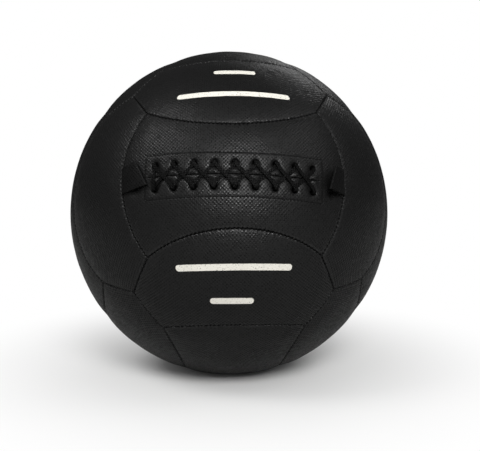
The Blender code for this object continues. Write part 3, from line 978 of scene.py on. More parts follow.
@dataclass
class CoverPanel:
    """One panel of the cover.

    Attributes:
        node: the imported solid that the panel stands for.
        sides: its low, high, left and right sides.
        middle: unit vector of its middle.
        grain: unit vector that the warp threads run along.
        sewing: how it is sewn.
        spacing: usual distance between its vertices.
        lumps: the filling's unevenness, as it shows through the cloth.
        lump_fade: how far from a seam the lumps come up to their full height.
        drawn: how far from a seam the cloth is drawn in with its border.
        rub_at: how far from a seam the cloth is rubbed most.
        rub_width: how wide the rubbed strip is.
    """

    node: str
    sides: tuple[Side, Side, Side, Side]
    middle: Array
    grain: Array
    sewing: Sewing
    spacing: float = 1.15 * MM
    lumps: tuple[Unevenness, ...] = (
        Unevenness(11, 0.16 * MM, 70 * MM, 150 * MM),
        Unevenness(23, 0.05 * MM, 16 * MM, 40 * MM),
    )
    lump_fade: float = 12 * MM
    drawn: float = 4 * MM
    rub_at: float = 1.9 * MM
    rub_width: float = 0.9 * MM

    @property
    def weave(self) -> tuple[Array, Array]:
        """Unit vectors along the weft and along the warp."""
        weft = unit(np.cross(self.grain, self.middle))
        return weft, np.cross(self.middle, weft)

    @property
    def seams(self) -> list[Seam]:
        """Every seam round the panel."""
        return [seam for side in self.sides for seam in side]

    def side_length(self, first: int, second: int) -> float:
        """Mean length of two opposite sides."""
        return sum(seam.length for k in (first, second) for seam in self.sides[k]) / 2

    def fill(self, u: Array, v: Array) -> Array:
        """Unit vectors inside the four sides, blended from their opposite sides.

        Args:
            u: share of the way from left to right.
            v: share of the way from low to high.

        Returns:
            The vectors.
        """
        low, high, left, right = self.sides
        ends = np.array([0.0, 1.0])
        low_ends, high_ends = side_points(low, ends), side_points(high, ends)
        a, b = u[:, None], v[:, None]
        ruled = (1 - b) * side_points(low, u) + b * side_points(high, u)
        ruled += (1 - a) * side_points(left, v) + a * side_points(right, v)
        corners = (1 - b) * ((1 - a) * low_ends[0] + a * low_ends[1])
        corners += b * ((1 - a) * high_ends[0] + a * high_ends[1])
        return unit(ruled - corners)

    def cloth_place(self, directions: Array) -> Array:
        """Place of each direction on the flat cloth, measured from the panel's middle.

        Args:
            directions: the directions.

        Returns:
            Place across and place up of each.
        """
        weft, warp = self.weave
        angle = np.arccos(np.clip(directions @ self.middle, -1, 1))
        x, y = directions @ weft, directions @ warp
        scale = BALL.half_width * angle / np.maximum(np.hypot(x, y), 1e-9)
        return np.stack([x * scale, y * scale], axis=1)

    def direction_of(self, flat: Array) -> Array:
        """Unit vector of each place on the flat cloth, measured from the panel's middle.

        Args:
            flat: place across and place up of each.

        Returns:
            The unit vectors.
        """
        weft, warp = self.weave
        reach = np.linalg.norm(flat, axis=1, keepdims=True)
        aside = (flat[:, :1] * weft + flat[:, 1:] * warp) / np.maximum(reach, 1e-9)
        angle = reach / BALL.half_width
        return np.cos(angle) * self.middle + np.sin(angle) * aside

    def shares(self) -> tuple[Array, Array]:
        """Shares of the grid's columns and rows.

        Returns:
            Shares of the columns, then of the rows.
        """
        first = self.sewing.lip_radius / 7
        across = graded(self.side_length(0, 1), first, self.spacing)
        up = graded(self.side_length(2, 3), first, self.spacing)
        return across, up

    def vertex_shares(self, column: Array, row: Array) -> tuple[Array, Array]:
        """Both shares of each vertex, from its column and its row."""
        across, up = self.shares()
        return across[column], up[row]

    def relief(self, directions: Array, distance: Array, nearest: Array) -> Array:
        """How deep the cloth lies at each vertex.

        Args:
            directions: unit vectors of the vertices.
            distance: distance of each from its nearest seam.
            nearest: number of that seam.

        Returns:
            The depths.
        """
        depth = np.zeros(len(distance))
        for k, seam in enumerate(self.seams):
            mine = nearest == k
            depth[mine] = self.sewing.depth_at(seam, directions[mine], distance[mine], self.middle)
        points = BALL.place(directions)
        fade = np.clip(distance / self.lump_fade, 0, 1)
        for lump in self.lumps:
            depth += lump.at(points) * fade
        return depth

    def drawn_in(self, directions: Array) -> tuple[Array, Array, Array]:
        """Moves the border in by what the seams leave open, and the cloth beside it less and less.

        Args:
            directions: unit vectors of the vertices.

        Returns:
            The moved directions, the distance from the nearest seam and that seam's number.
        """
        moved = directions.copy()
        for seam in self.seams:
            opening = self.sewing.half_gap(self.sewing.held(seam, directions, self.middle))
            near = np.clip(1 - seam.distance(directions) / self.drawn, 0, 1)
            moved += seam.away(directions, self.middle) * (opening * near / BALL.half_width)[:, None]
        moved = unit(moved)
        gaps = np.stack([seam.distance(moved) for seam in self.seams])
        return moved, gaps.min(axis=0), gaps.argmin(axis=0)

    def depth_of(self, directions: Array) -> Array:
        """How deep the finished cloth lies in these directions."""
        _, distance, nearest = self.drawn_in(directions)
        return self.relief(directions, distance, nearest)

    def turn_allowance(self, obj: Piece) -> None:
        """Extrudes the border towards the middle of the ball, as the turned seam allowance.

        Args:
            obj: the panel.
        """
        alone(obj)
        bpy.ops.object.mode_set(mode="EDIT")
        bpy.ops.mesh.select_all(action="DESELECT")
        bpy.ops.mesh.select_mode(type="EDGE")
        bpy.ops.mesh.select_non_manifold(extend=False)
        start = self.sewing.lip_radius + self.sewing.crown_dip
        rounds = 3
        step = (self.sewing.allowance - start) / rounds
        for k in range(rounds):
            bpy.ops.mesh.extrude_region_move()
            radius = BALL.half_width - start - k * step
            shrink = 1 - step / radius
            bpy.ops.transform.resize(value=(shrink,) * 3, center_override=tuple(BALL.centre))
        bpy.ops.object.mode_set(mode="OBJECT")

    def shape(self) -> Piece:
        """The sheet of the panel, before its thickness.

        Returns:
            The sheet.
        """
        across, up = self.shares()
        obj, column, row = grid_piece(self.node + "_cloth", len(across) - 1, len(up) - 1)
        directions = self.fill(*self.vertex_shares(column, row))
        directions, distance, nearest = self.drawn_in(directions)
        depth = self.relief(directions, distance, nearest)
        set_coordinates(obj, BALL.place(directions, depth))
        set_cloth_map(obj, self.cloth_place(directions))
        set_measure(obj, "rub", bell(distance - self.rub_at, self.rub_width))
        return obj

    def build(self, material: Finish) -> None:
        """Builds and dresses the panel.

        Args:
            material: its finish.
        """
        obj = self.shape()
        self.open_up(obj)
        face_outward(obj)
        self.turn_allowance(obj)
        self.press_flat(obj)
        applied(obj, "SOLIDIFY", thickness=self.sewing.cloth, offset=-1.0, use_rim=True)
        dress(obj, material)
        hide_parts(self.node)
        self.cut_size()

    @property
    def rests_on(self) -> list[str]:
        """What the panel is stretched over."""
        return ["lining"]

    def cut_size(self) -> tuple[float, float]:
        """Length and breadth of the flat cloth, with its seam allowances.

        Returns:
            The length and the breadth.
        """
        shares = np.linspace(0, 1, 21)
        rim = np.concatenate([seam.points(shares) for seam in self.seams])
        length, breadth = np.ptp(self.cloth_place(rim), axis=0) + 2 * self.sewing.allowance
        return float(length), float(breadth)

    def open_up(self, obj: Piece) -> None:
        """Cuts what openings the panel has. A plain panel has none."""

    def press_flat(self, obj: Piece, softness: float = 0.4 * MM) -> None:
        """Flattens what would reach under the floor, with a soft turn at the edge of the flat.

        Args:
            obj: the panel.
            softness: how softly it turns.
        """
        points = coordinates(obj)
        height = points[:, 2].copy()
        if height.min() < 0:
            soft = 0.5 * (height + np.sqrt(height**2 + softness**2))
            points[:, 2] = np.where(np.abs(height) < 3 * MM, soft, np.maximum(height, 0))
            set_coordinates(obj, points)


def four_sided(plan: SeamPlan, normal: Facing, long_axis: Facing, short_axis: Facing) -> tuple[Side, ...]:
    """Sides of a four-sided panel: low, high, left and right.

    Args:
        plan: where the seams run.
        normal: the panel's facing.
        long_axis: where its right end lies.
        short_axis: where its high side lies.

    Returns:
        The sides.
    """
    n, a, b = normal.vector, long_axis.vector, short_axis.vector
    return (
        (plan.waisted(n, a, -b),),
        (plan.waisted(n, a, b),),
        (plan.bulging(n, -a, b),),
        (plan.bulging(n, a, b),),
    )


def six_sided(plan: SeamPlan, waist_normal: Facing, bulge_normal: Facing, along: Facing) -> tuple[Side, ...]:
    """Sides of a six-sided panel, whose ends are two short seams that meet at a corner of the cube.

    Args:
        plan: where the seams run.
        waist_normal: facing of the panel beyond its low side.
        bulge_normal: facing of the panel beyond its high side.
        along: where its right end lies.

    Returns:
        The sides: low, high, left and right.
    """
    n, b, a = waist_normal.vector, bulge_normal.vector, along.vector
    waist, bulge = plan.waisted(n, a, b), plan.bulging(b, n, a)
    ends = []
    for side, low, high in ((-a, waist.start, bulge.start), (a, waist.end, bulge.end)):
        peak = unit(n + b + side)
        ends.append((plan.short(low, peak), plan.short(high, peak)))
    return (waist,), (bulge,), ends[0], ends[1]


@dataclass
class Cover:
    """All eighteen panels, and the thread that joins them.

    A stitch has a width, a height and a length, and lies sunk under the lips' turn.
    """

    plan: SeamPlan = field(default_factory=SeamPlan)
    sewing: Sewing = field(default_factory=Sewing)
    stitch: tuple[float, float, float] = (0.6 * MM, 0.6 * MM, 2.6 * MM)
    stitch_sunk: float = 1.5 * MM

    def four_sided_panels(self) -> dict[str, tuple[Facing, Facing, Facing]]:
        """Facing, long axis and short axis of each four-sided panel.

        Returns:
            The three, by the panel's node.
        """
        f = Facing
        return {
            "laced_panel": (f.FRONT, f.RIGHT, f.TOP),
            "rear_panel": (f.REAR, f.LEFT, f.TOP),
            "left_panel": (f.LEFT, f.TOP, f.FRONT),
            "right_panel": (f.RIGHT, f.TOP, f.REAR),
            "top_panel": (f.TOP, f.REAR, f.RIGHT),
            "bottom_panel": (f.BOTTOM, f.FRONT, f.RIGHT),
        }

    def six_sided_panels(self) -> dict[str, tuple[Facing, Facing, Facing]]:
        """Waisted side's facing, bulging side's facing and long axis of each six-sided panel.

        Returns:
            The three, by the panel's node.
        """
        f = Facing
        return {
            "front_upper_panel": (f.FRONT, f.TOP, f.RIGHT),
            "front_lower_panel": (f.FRONT, f.BOTTOM, f.RIGHT),
            "rear_upper_panel": (f.REAR, f.TOP, f.RIGHT),
            "rear_lower_panel": (f.REAR, f.BOTTOM, f.RIGHT),
            "front_left_panel": (f.LEFT, f.FRONT, f.TOP),
            "front_right_panel": (f.RIGHT, f.FRONT, f.TOP),
            "rear_left_panel": (f.LEFT, f.REAR, f.TOP),
            "rear_right_panel": (f.RIGHT, f.REAR, f.TOP),
            "upper_left_panel": (f.TOP, f.LEFT, f.REAR),
            "upper_right_panel": (f.TOP, f.RIGHT, f.REAR),
            "lower_left_panel": (f.BOTTOM, f.LEFT, f.REAR),
            "lower_right_panel": (f.BOTTOM, f.RIGHT, f.REAR),
        }

    def panels(self) -> list[CoverPanel]:
        """The panels, ready to build.

        Returns:
            The panels, four-sided ones first.
        """
        made = []
        for node, axes in self.four_sided_panels().items():
            sides = four_sided(self.plan, *axes)
            kind = LacedPanel if node == "laced_panel" else CoverPanel
            made.append(kind(node, sides, axes[0].vector, axes[2].vector, self.sewing))
        for node, (waist, bulge, along) in self.six_sided_panels().items():
            sides = six_sided(self.plan, waist, bulge, along)
            middle = unit(waist.vector + bulge.vector)
            grain = unit(waist.vector - bulge.vector)
            made.append(CoverPanel(node, sides, middle, grain, self.sewing))
        return made

    def all_seams(self, panels: Sequence[CoverPanel]) -> list[Seam]:
        """Each seam once.

        Args:
            panels: the panels that they border.

        Returns:
            The seams.
        """
        found: dict[tuple, Seam] = {}
        for panel in panels:
            for seam in panel.seams:
                found.setdefault(tuple(np.round(seam.middle, 4) + 0.0), seam)
        return list(found.values())

    def sew(self, seams: Sequence[Seam], material: Finish) -> None:
        """The seam thread: a short bar of thread across each seam at every stitch.

        Args:
            seams: the seams to sew.
            material: the thread's finish.
        """
        places, axes = [], []
        for seam in seams:
            count = self.sewing.stitches_on(seam)
            at = seam.points((np.arange(count) + 0.5) / count)
            out = unit(BALL.place(at) - BALL.centre)
            across = square_to(out, seam.away(at, seam.axis))
            places.append(BALL.place(at, self.sewing.crown_dip + self.stitch_sunk))
            axes.append(np.stack([np.cross(across, out), out, across], axis=1))
        piece = thread_bars("seam_stitches", self.stitch, np.concatenate(places), np.concatenate(axes))
        dress(piece, material, sharp=180)


# Lacing


@dataclass(frozen=True)
class LacingPlan:
    """Where the slit, the holes and the lace lie, measured along the cover from the middle of the lacing.

    An arm is the stretch of lace from one hole to the next. Each hole dimple is a depth and a reach.
    A hollow by a tab has its place and its spread along and up. The drop and the tilt are measured from
    the panel's own middle and axis.
    """

    pairs: int = 9
    pitch: float = 20.0 * MM
    row_gap: float = 25 * MM
    hole_diameter: float = 5.6 * MM
    drop: float = 1 * MM
    tilt: float = math.radians(1.6)
    slit_length: float = 174 * MM
    slit_width: float = 0.4 * MM
    frame_length: float = 182 * MM
    frame_height: float = 44 * MM
    frame_pitch: float = 3.6 * MM
    frame_groove: float = 0.75 * MM
    frame_rise: float = 0.35 * MM
    frame_soft: float = 0.8 * MM
    hole_dimples: tuple[tuple[float, float], ...] = ((1.2 * MM, 0.9 * MM), (0.4 * MM, 3.2 * MM))
    arm_groove: float = 1.5 * MM
    arm_width: float = 2.6 * MM
    end_hollow: float = 1.4 * MM
    tab_hollow: float = 4.4 * MM
    tab_place: tuple[float, float] = (103 * MM, -3 * MM)
    tab_spread: tuple[float, float] = (7 * MM, 10 * MM)
    lip_height: float = 1.7 * MM
    pucker_height: float = 0.2 * MM
    edge_drop: float = 0.9 * MM
    edge_width: float = 1.0 * MM

    @property
    def arm_slope(self) -> float:
        """Breadth over height of the lace's way from one hole to the next, as a cosine."""
        return self.row_gap / math.hypot(self.pitch, self.row_gap)

    def directions(self, along: Array, up: Array) -> Array:
        """Unit vectors of these places.

        Args:
            along: distance along of each.
            up: distance up of each.

        Returns:
            The unit vectors.
        """
        across = along * math.cos(self.tilt) + up * math.sin(self.tilt)
        rise = up * math.cos(self.tilt) - along * math.sin(self.tilt) - self.drop
        turn, lift = across / BALL.half_width, rise / BALL.half_height
        level = np.cos(lift)
        return np.stack([np.sin(turn) * level, np.cos(turn) * level, np.sin(lift)], axis=-1) @ LIE

    def places(self, directions: Array) -> tuple[Array, Array]:
        """Distance along and distance up of these directions.

        Args:
            directions: the directions.

        Returns:
            The distances along, then the distances up.
        """
        right, front, top = LIE @ directions.T
        across = np.arctan2(right, front) * BALL.half_width
        rise = np.arcsin(np.clip(top, -1, 1)) * BALL.half_height + self.drop
        along = across * math.cos(self.tilt) - rise * math.sin(self.tilt)
        return along, across * math.sin(self.tilt) + rise * math.cos(self.tilt)

    def columns(self) -> Array:
        """Distance of each pair of holes from the middle of the lacing."""
        return self.pitch * (np.arange(self.pairs) - (self.pairs - 1) / 2)

    def holes(self) -> Array:
        """Both places of every hole."""
        rows = (-self.row_gap / 2, self.row_gap / 2)
        return np.array([(x, y) for x in self.columns() for y in rows])


@dataclass
class LacedPanel(CoverPanel):
    """The front panel, with its slit, its lacing holes and the stitched frame round them."""

    spacing: float = 1.0 * MM
    lacing: LacingPlan = field(default_factory=LacingPlan)
    frame_stitch: tuple[float, float, float] = (1.0 * MM, 0.6 * MM, 3.2 * MM)

    @property
    def rests_on(self) -> list[str]:
        """What the panel is stretched over."""
        return ["slit_patch", "lining"]

    def shares(self) -> tuple[Array, Array]:
        """Shares of the columns, and of the rows on either side of the slit as one run of numbers.

        Returns:
            Shares of the columns, then of the rows.
        """
        first = self.sewing.lip_radius / 7
        across = graded(self.side_length(0, 1), first, self.spacing)
        half = graded(self.side_length(2, 3) * 0.42, first, self.spacing)
        return across, np.concatenate([half * 0.5, 0.5 + half[1:] * 0.5])

    def vertex_shares(self, column: Array, row: Array) -> tuple[Array, Array]:
        """Both shares of each vertex, with the middle row drawn onto the slit.

        Args:
            column: column of each vertex.
            row: row of each vertex.

        Returns:
            Shares across, then shares up.
        """
        across, up = self.shares()
        middle = np.full(len(across), 0.5)
        for _ in range(4):
            _, here = self.lacing.places(self.fill(across, middle))
            _, onward = self.lacing.places(self.fill(across, middle + 0.01))
            middle = middle - 0.01 * here / (onward - here)
        v = up[row]
        centre = middle[column]
        return across[column], np.where(v < 0.5, v * 2 * centre, centre + (v - 0.5) * 2 * (1 - centre))

    def frame_relief(self, along: Array, up: Array) -> Array:
        """Depth of the frame's groove, less the raised cloth inside it, with the hollows by the tabs.

        Args:
            along: distance along of each place.
            up: distance up of each place.

        Returns:
            The depths.
        """
        plan = self.lacing
        out_along = np.abs(along) - plan.frame_length / 2
        out_up = np.abs(up) - plan.frame_height / 2
        outside = np.maximum(out_along, out_up)
        dimple = 0.6 + 0.4 * ripple(np.where(out_along > out_up, up, along), plan.frame_pitch)
        depth = plan.frame_groove * dimple * bell(outside, plan.frame_soft)
        depth -= plan.frame_rise / (1 + np.exp(outside / plan.frame_soft))
        beside = bell(np.abs(along) - plan.tab_place[0], plan.tab_spread[0])
        return depth + plan.tab_hollow * beside * bell(up - plan.tab_place[1], plan.tab_spread[1])

    def lacing_relief(self, along: Array, up: Array) -> Array:
        """Depth of the dimples round the holes, of the lace's grooves and of the hollow at either end.

        Args:
            along: distance along of each place.
            up: distance up of each place.

        Returns:
            The depths.
        """
        plan = self.lacing
        columns = plan.columns()
        depth = np.zeros(len(along))
        for x, y in plan.holes():
            reach = np.clip(np.hypot(along - x, up - y) - plan.hole_diameter / 2, 0, None)
            for deep, wide in plan.hole_dimples:
                depth += deep * np.exp(-reach / wide)
        for start, end in zip(columns, columns[1:]):
            for lean in (1, -1):
                share = 0.5 + lean * up / plan.row_gap
                aside = np.abs(along - start - (end - start) * np.clip(share, 0, 1)) * plan.arm_slope
                from_middle = np.abs(share - 0.5)
                groove = bell(aside, plan.arm_width) * (from_middle < 0.5)
                depth += plan.arm_groove * (from_middle + 0.2) * groove
        ends = bell(np.abs(along) - columns[-1] + 3 * MM, 3.2 * MM)
        return depth + plan.end_hollow * ends * bell(up, plan.row_gap * 0.5)

    def slit_relief(self, along: Array, up: Array) -> Array:
        """Depth of the slit's turned edges, less its lips and their puckers.

        Args:
            along: distance along of each place.
            up: distance up of each place.

        Returns:
            The depths.
        """
        plan = self.lacing
        between = 0.5 + 0.5 * ripple(along, plan.pitch)
        lips = bell(np.abs(up) - 2.9 * MM, 2.5 * MM) * (1.35 * between**1.5 - 0.35) * plan.lip_height
        puckers = ripple(along + 0.3 * up, 2.9 * MM) + ripple(up - 0.4 * along, 3.7 * MM)
        puckers *= bell(up, 7 * MM) * between * plan.pucker_height
        edge = np.clip(plan.edge_width - np.abs(up), 0, None) / plan.edge_width
        in_slit = 1 / (1 + np.exp((np.abs(along) - plan.slit_length / 2) / (1.2 * MM)))
        return in_slit * (plan.edge_drop * edge**2 - lips - puckers)

    def relief(self, directions: Array, distance: Array, nearest: Array) -> Array:
        """The plain panel's relief with the frame, the holes and the lips of the slit.

        Args:
            directions: unit vectors of the vertices.
            distance: distance of each from its nearest seam.
            nearest: number of that seam.

        Returns:
            The depths.
        """
        depth = super().relief(directions, distance, nearest)
        place = self.lacing.places(directions)
        return depth + self.frame_relief(*place) + self.lacing_relief(*place) + self.slit_relief(*place)

    def stitch_frame(self, material: Finish) -> None:
        """The thread of the stitched frame, one stitch for each dimple of its line.

        Args:
            material: the thread's finish.
        """
        plan = self.lacing
        pitch = plan.frame_pitch
        along, up, lengthwise = [], [], []
        for length, offset, level in (
            (plan.frame_length, plan.frame_height / 2, True),
            (plan.frame_height, plan.frame_length / 2, False),
        ):
            count = math.floor(length / pitch / 2)
            run = pitch * (np.arange(-count, count + 1) + 0.5)
            run = run[np.abs(run) < length / 2 - 0.3 * pitch]
            for side in (-offset, offset):
                along.append(run if level else np.full(len(run), side))
                up.append(np.full(len(run), side) if level else run)
                lengthwise.append(np.full(len(run), level))
        along, up, lengthwise = (np.concatenate(part) for part in (along, up, lengthwise))
        towards = plan.directions(along, up)
        places = BALL.place(towards, self.depth_of(towards) - 0.1 * MM)
        step = 0.5 * MM
        onward = plan.directions(along + step * lengthwise, up + step * ~lengthwise)
        out = unit(places - BALL.centre)
        ahead = square_to(out, BALL.place(onward) - BALL.place(towards))
        axes = np.stack([np.cross(ahead, out), out, ahead], axis=1)
        piece = thread_bars("frame_stitches", self.frame_stitch, places, axes)
        dress(piece, material, sharp=180)

    def open_up(self, obj: Piece) -> None:
        """Cuts the slit and the holes, and rounds the holes' edges.

        Args:
            obj: the sheet that they go through.
        """
        plan = self.lacing
        points = coordinates(obj)
        along, up = plan.places(BALL.directions_to(points))
        holes = plan.holes()
        radius = plan.hole_diameter / 2
        faces = obj.data.polygons
        doomed = []
        for k, face in enumerate(faces):
            ids = list(face.vertices)
            x, y = along[ids].mean(), up[ids].mean()
            if abs(y) > plan.frame_height / 2 or abs(x) > plan.frame_length / 2:
                continue
            in_hole = np.hypot(holes[:, 0] - x, holes[:, 1] - y).min() < radius - 0.2 * MM
            in_slit = abs(x) < plan.slit_length / 2 and abs(y) < plan.slit_width / 2
            if in_hole or in_slit:
                doomed.append(k)
        delete_faces(obj, np.isin(np.arange(len(faces)), doomed))
        self.round_holes(obj, radius)

    def round_holes(self, obj: Piece, radius: float) -> None:
        """Moves the cut edge of every hole onto its circle.

        Args:
            obj: the panel.
            radius: radius of a hole.
        """
        plan = self.lacing
        points = coordinates(obj)
        directions = BALL.directions_to(points)
        along, up = plan.places(directions)
        use = np.zeros(len(points), dtype=int)
        for face in obj.data.polygons:
            use[list(face.vertices)] += 1
        loose = use < 4
        depth_before = np.linalg.norm(BALL.place(directions) - points, axis=1)
        for x, y in plan.holes():
            offset = np.stack([along - x, up - y], axis=1)
            reach = np.linalg.norm(offset, axis=1)
            near = reach < radius + 3.0 * MM
            rim = near & loose & (reach < radius + 1.4 * MM)
            target = np.where(rim, radius, reach)
            soft = near & ~rim & (reach < radius + 1.1 * MM)
            target = np.where(soft, np.maximum(reach, radius + 0.55 * MM), target)
            moved = rim | soft
            scale = target[moved] / np.maximum(reach[moved], 1e-9)
            new_along = x + offset[moved, 0] * scale
            new_up = y + offset[moved, 1] * scale
            towards = plan.directions(new_along, new_up)
            points[moved] = BALL.place(towards, depth_before[moved])
        set_coordinates(obj, points)


@dataclass(frozen=True)
class Run:
    """One way of the lace along the slit.

    Its row is the distance up of the place where it bends into a hole.
    """

    row: float
    height: float
    depth: float


@dataclass
class Lace:
    """The flat lace, which goes out along the slit and comes back over itself.

    The bend is the radius of its middle at a hole, and the tail is each end's length inside the ball.
    """

    lacing: LacingPlan = field(default_factory=LacingPlan)
    width: float = 3.9 * MM
    thickness: float = 1.3 * MM
    bend: float = 1.25 * MM
    tail: float = 9 * MM
    step: float = 0.45 * MM

    @property
    def out(self) -> Run:
        """The way out, close on the cover."""
        half = self.lacing.row_gap / 2
        return Run(half - 0.85 * MM, 0.75 * MM, 5.6 * MM)

    @property
    def back(self) -> Run:
        """The way back, over the way out."""
        half = self.lacing.row_gap / 2
        return Run(half + 0.85 * MM, 2.4 * MM, 7.2 * MM)

    def dive(self, along: float, side: int, run: Run) -> list[tuple[float, ...]]:
        """Stations from the outside of a hole to its inside.

        Args:
            along: place of the hole along the slit.
            side: one for the upper row, minus one for the lower row.
            run: where the lace lies outside and inside the hole.

        Returns:
            Place along, place up and height of each station.
        """
        stations = []
        for level, sense in ((run.height, 1), (-run.depth, -1)):
            turned = []
            for angle in np.linspace(0, math.pi / 2, 6):
                up = side * (run.row - self.bend + self.bend * math.sin(angle))
                turned.append((along, up, level - sense * self.bend * (1 - math.cos(angle))))
            stations += turned if sense == 1 else turned[::-1]
        return stations

    def crossing(self, start: float, end: float, run: Run) -> list[tuple[float, ...]]:
        """Stations from a lower hole to the upper hole of the next pair, outside the cover.

        Args:
            start: the lower hole's place along.
            end: the upper hole's place along.
            run: where the lace lies.

        Returns:
            Place along, place up and height of each station.
        """
        low = -(run.row - self.bend)
        rise = -2 * low
        stations = []
        for t in np.linspace(0, 1, 26)[1:-1]:
            share = t + 0.4 * (t * t * (3 - 2 * t) - t)
            press = 0.3 * MM * float(bell(np.array(abs(t - 0.5) - 0.24), 0.1))
            stations.append((start + (end - start) * share, low + rise * t, run.height - press))
        return stations

    def route(self) -> Array:
        """Every station of the lace, from its first tail to its last: along, up and height.

        It ends with one turn straight round the first pair of holes.

        Returns:
            The stations in order.
        """
        places = list(self.lacing.columns())
        half = self.lacing.row_gap / 2
        out, back = self.out, self.back
        stations = [(places[0], -half + self.tail, -out.depth)]
        for here, onward in zip(places, places[1:]):
            stations += self.dive(here, -1, out)[::-1] + self.crossing(here, onward, out)
            stations += self.dive(onward, 1, out)
        places = places[::-1]
        for here, onward in zip(places, places[1:]):
            rising = replace(back, depth=out.depth) if here == places[0] else back
            stations += self.dive(here, -1, rising)[::-1] + self.crossing(here, onward, back)
            stations += self.dive(onward, 1, back)
        last = places[-1]
        stations += self.dive(last, -1, back)[::-1]
        stations += [(last, -0.2 * half, back.height), (last, 0.2 * half, out.height)]
        stations += self.dive(last, 1, out)
        stations.append((last, half - self.tail, -out.depth))
        return np.array(stations)

    def build(self, material: Finish) -> None:
        """Builds and dresses the lace.

        Args:
            material: its finish.
        """
        route, _ = evenly(self.route(), self.step)
        towards = self.lacing.directions(route[:, 0], route[:, 1])
        middles = BALL.place(towards, -route[:, 2])
        tangents = unit(np.gradient(middles, axis=0))
        onward = np.gradient(route, axis=0)
        level_run = np.hypot(onward[:, 0], onward[:, 1])
        slope = np.where(level_run > 1e-9, onward[:, 0] / np.maximum(level_run, 1e-9), 0)
        slope = slope * np.sign(np.where(onward[:, 1] == 0, 1, onward[:, 1]))
        turn = -np.arcsin(np.clip(slope, -1, 1)) * np.clip(route[:, 2] / (0.5 * MM), 0, 1)
        aside = self.lacing.directions(route[:, 0] + MM * np.cos(turn), route[:, 1] + MM * np.sin(turn))
        width = square_to(tangents, BALL.place(aside, -route[:, 2]) - middles)
        rows = 6
        obj, column, row = grid_piece("lace_band", len(route) - 1, rows)
        across = (row / rows - 0.5) * (self.width - self.thickness * 0.4)
        set_coordinates(obj, middles[column] + width[column] * across[:, None])
        set_cloth_map(obj, np.stack([across, column * self.step], axis=1))
        applied(obj, "SOLIDIFY", thickness=self.thickness, offset=0.0)
        applied(obj, "BEVEL", width=0.4 * MM, segments=2, limit_method="ANGLE", angle_limit=math.radians(50))
        dress(obj, material, sharp=60)
        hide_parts("lace")


# End tabs


@dataclass
class EndTab:
    """A tab of cover fabric folded double, with its cut ends sewn into an end seam of the laced panel.

    Attributes:
        node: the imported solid, and the body that it moves with.
        side: one at the right end, minus one at the left end.
        lift: angle at which it stands off the cover.
        rise: how far its free edge is shifted towards the top.
        follow: how far it bends with the cover, from nought to one.
        width: width of the fabric.
        short_edge: length of its upper edge.
        long_edge: length of its lower edge.
        layer: thickness of one layer.
    """

    node: str
    side: int
    lift: float
    rise: float
    follow: float
    width: float = 25.6 * MM
    short_edge: float = 19 * MM
    long_edge: float = 33 * MM
    layer: float = 1.1 * MM

    def axes(self) -> tuple[Array, Array, Array, Array]:
        """The root's middle, and the directions away from the seam, up the seam and off the cover.

        Returns:
            The point and the three unit vectors.
        """
        joint = next(joint for joint in frame["joints"] if joint["child"] == self.node)
        root = np.array(joint["pos_m"], float)
        bulge = SeamPlan().bulge
        seam = math.cos(bulge) * Facing.FRONT.vector + math.sin(bulge) * self.side * Facing.RIGHT.vector
        inward = np.cross(seam, Facing.TOP.vector) * self.side
        along = math.cos(self.lift) * inward + math.sin(self.lift) * seam
        normal = math.cos(self.lift) * seam - math.sin(self.lift) * inward
        return root, along, Facing.TOP.vector, normal

    def section(self) -> Array:
        """The folded strip seen from its edge: share of the way out, and height, once round.

        Returns:
            Reach past the end, height and share of the way out, for each point.
        """
        half = self.layer / 2 + 0.05 * MM
        root = [(-half * math.sin(a), -half * math.cos(a), 0.0) for a in np.linspace(0, math.pi, 7)]
        out = [(0.0, half, share) for share in np.linspace(0, 1, 34)[1:-1]]
        fold = [(half * math.sin(a), half * math.cos(a), 1.0) for a in np.linspace(0, math.pi, 7)]
        home = [(0.0, -half, share) for share in np.linspace(1, 0, 34)[1:-1]]
        return np.array(root + out + fold + home)

    def build(self, material: Finish) -> None:
        """Builds and dresses the tab.

        Args:
            material: its finish.
        """
        root, along, up, normal = self.axes()
        section = self.section()
        rows = 30
        obj, column, row = grid_piece(self.node + "_cloth", len(section), rows)
        column = column % len(section)
        share = row / rows
        reach = self.long_edge + (self.short_edge - self.long_edge) * share - self.layer
        extra, height, out = section[column].T
        x = out * reach + extra + 0.9 * MM
        z = (share - 0.5) * self.width + self.rise * out
        bow = 0.5 * MM * np.sin(math.pi * np.clip(out, 0, 1)) * (0.6 + 0.4 * np.sin(math.pi * share))
        bow -= self.follow * x**2 / (2 * BALL.half_width)
        bow -= 2.3 * MM * np.exp(-((np.clip(x, 0, None) / (1.9 * MM)) ** 1.4))
        set_coordinates(obj, root + x[:, None] * along + z[:, None] * up + (height + bow)[:, None] * normal)
        set_cloth_map(obj, np.stack([x + np.sign(height) * 0.03, z], axis=1))
        applied(obj, "WELD", merge_threshold=0.01 * MM)
        applied(obj, "SOLIDIFY", thickness=self.layer, offset=0.0)
        dress(obj, material, self.node)
        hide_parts(self.node)


# What lies behind the slit


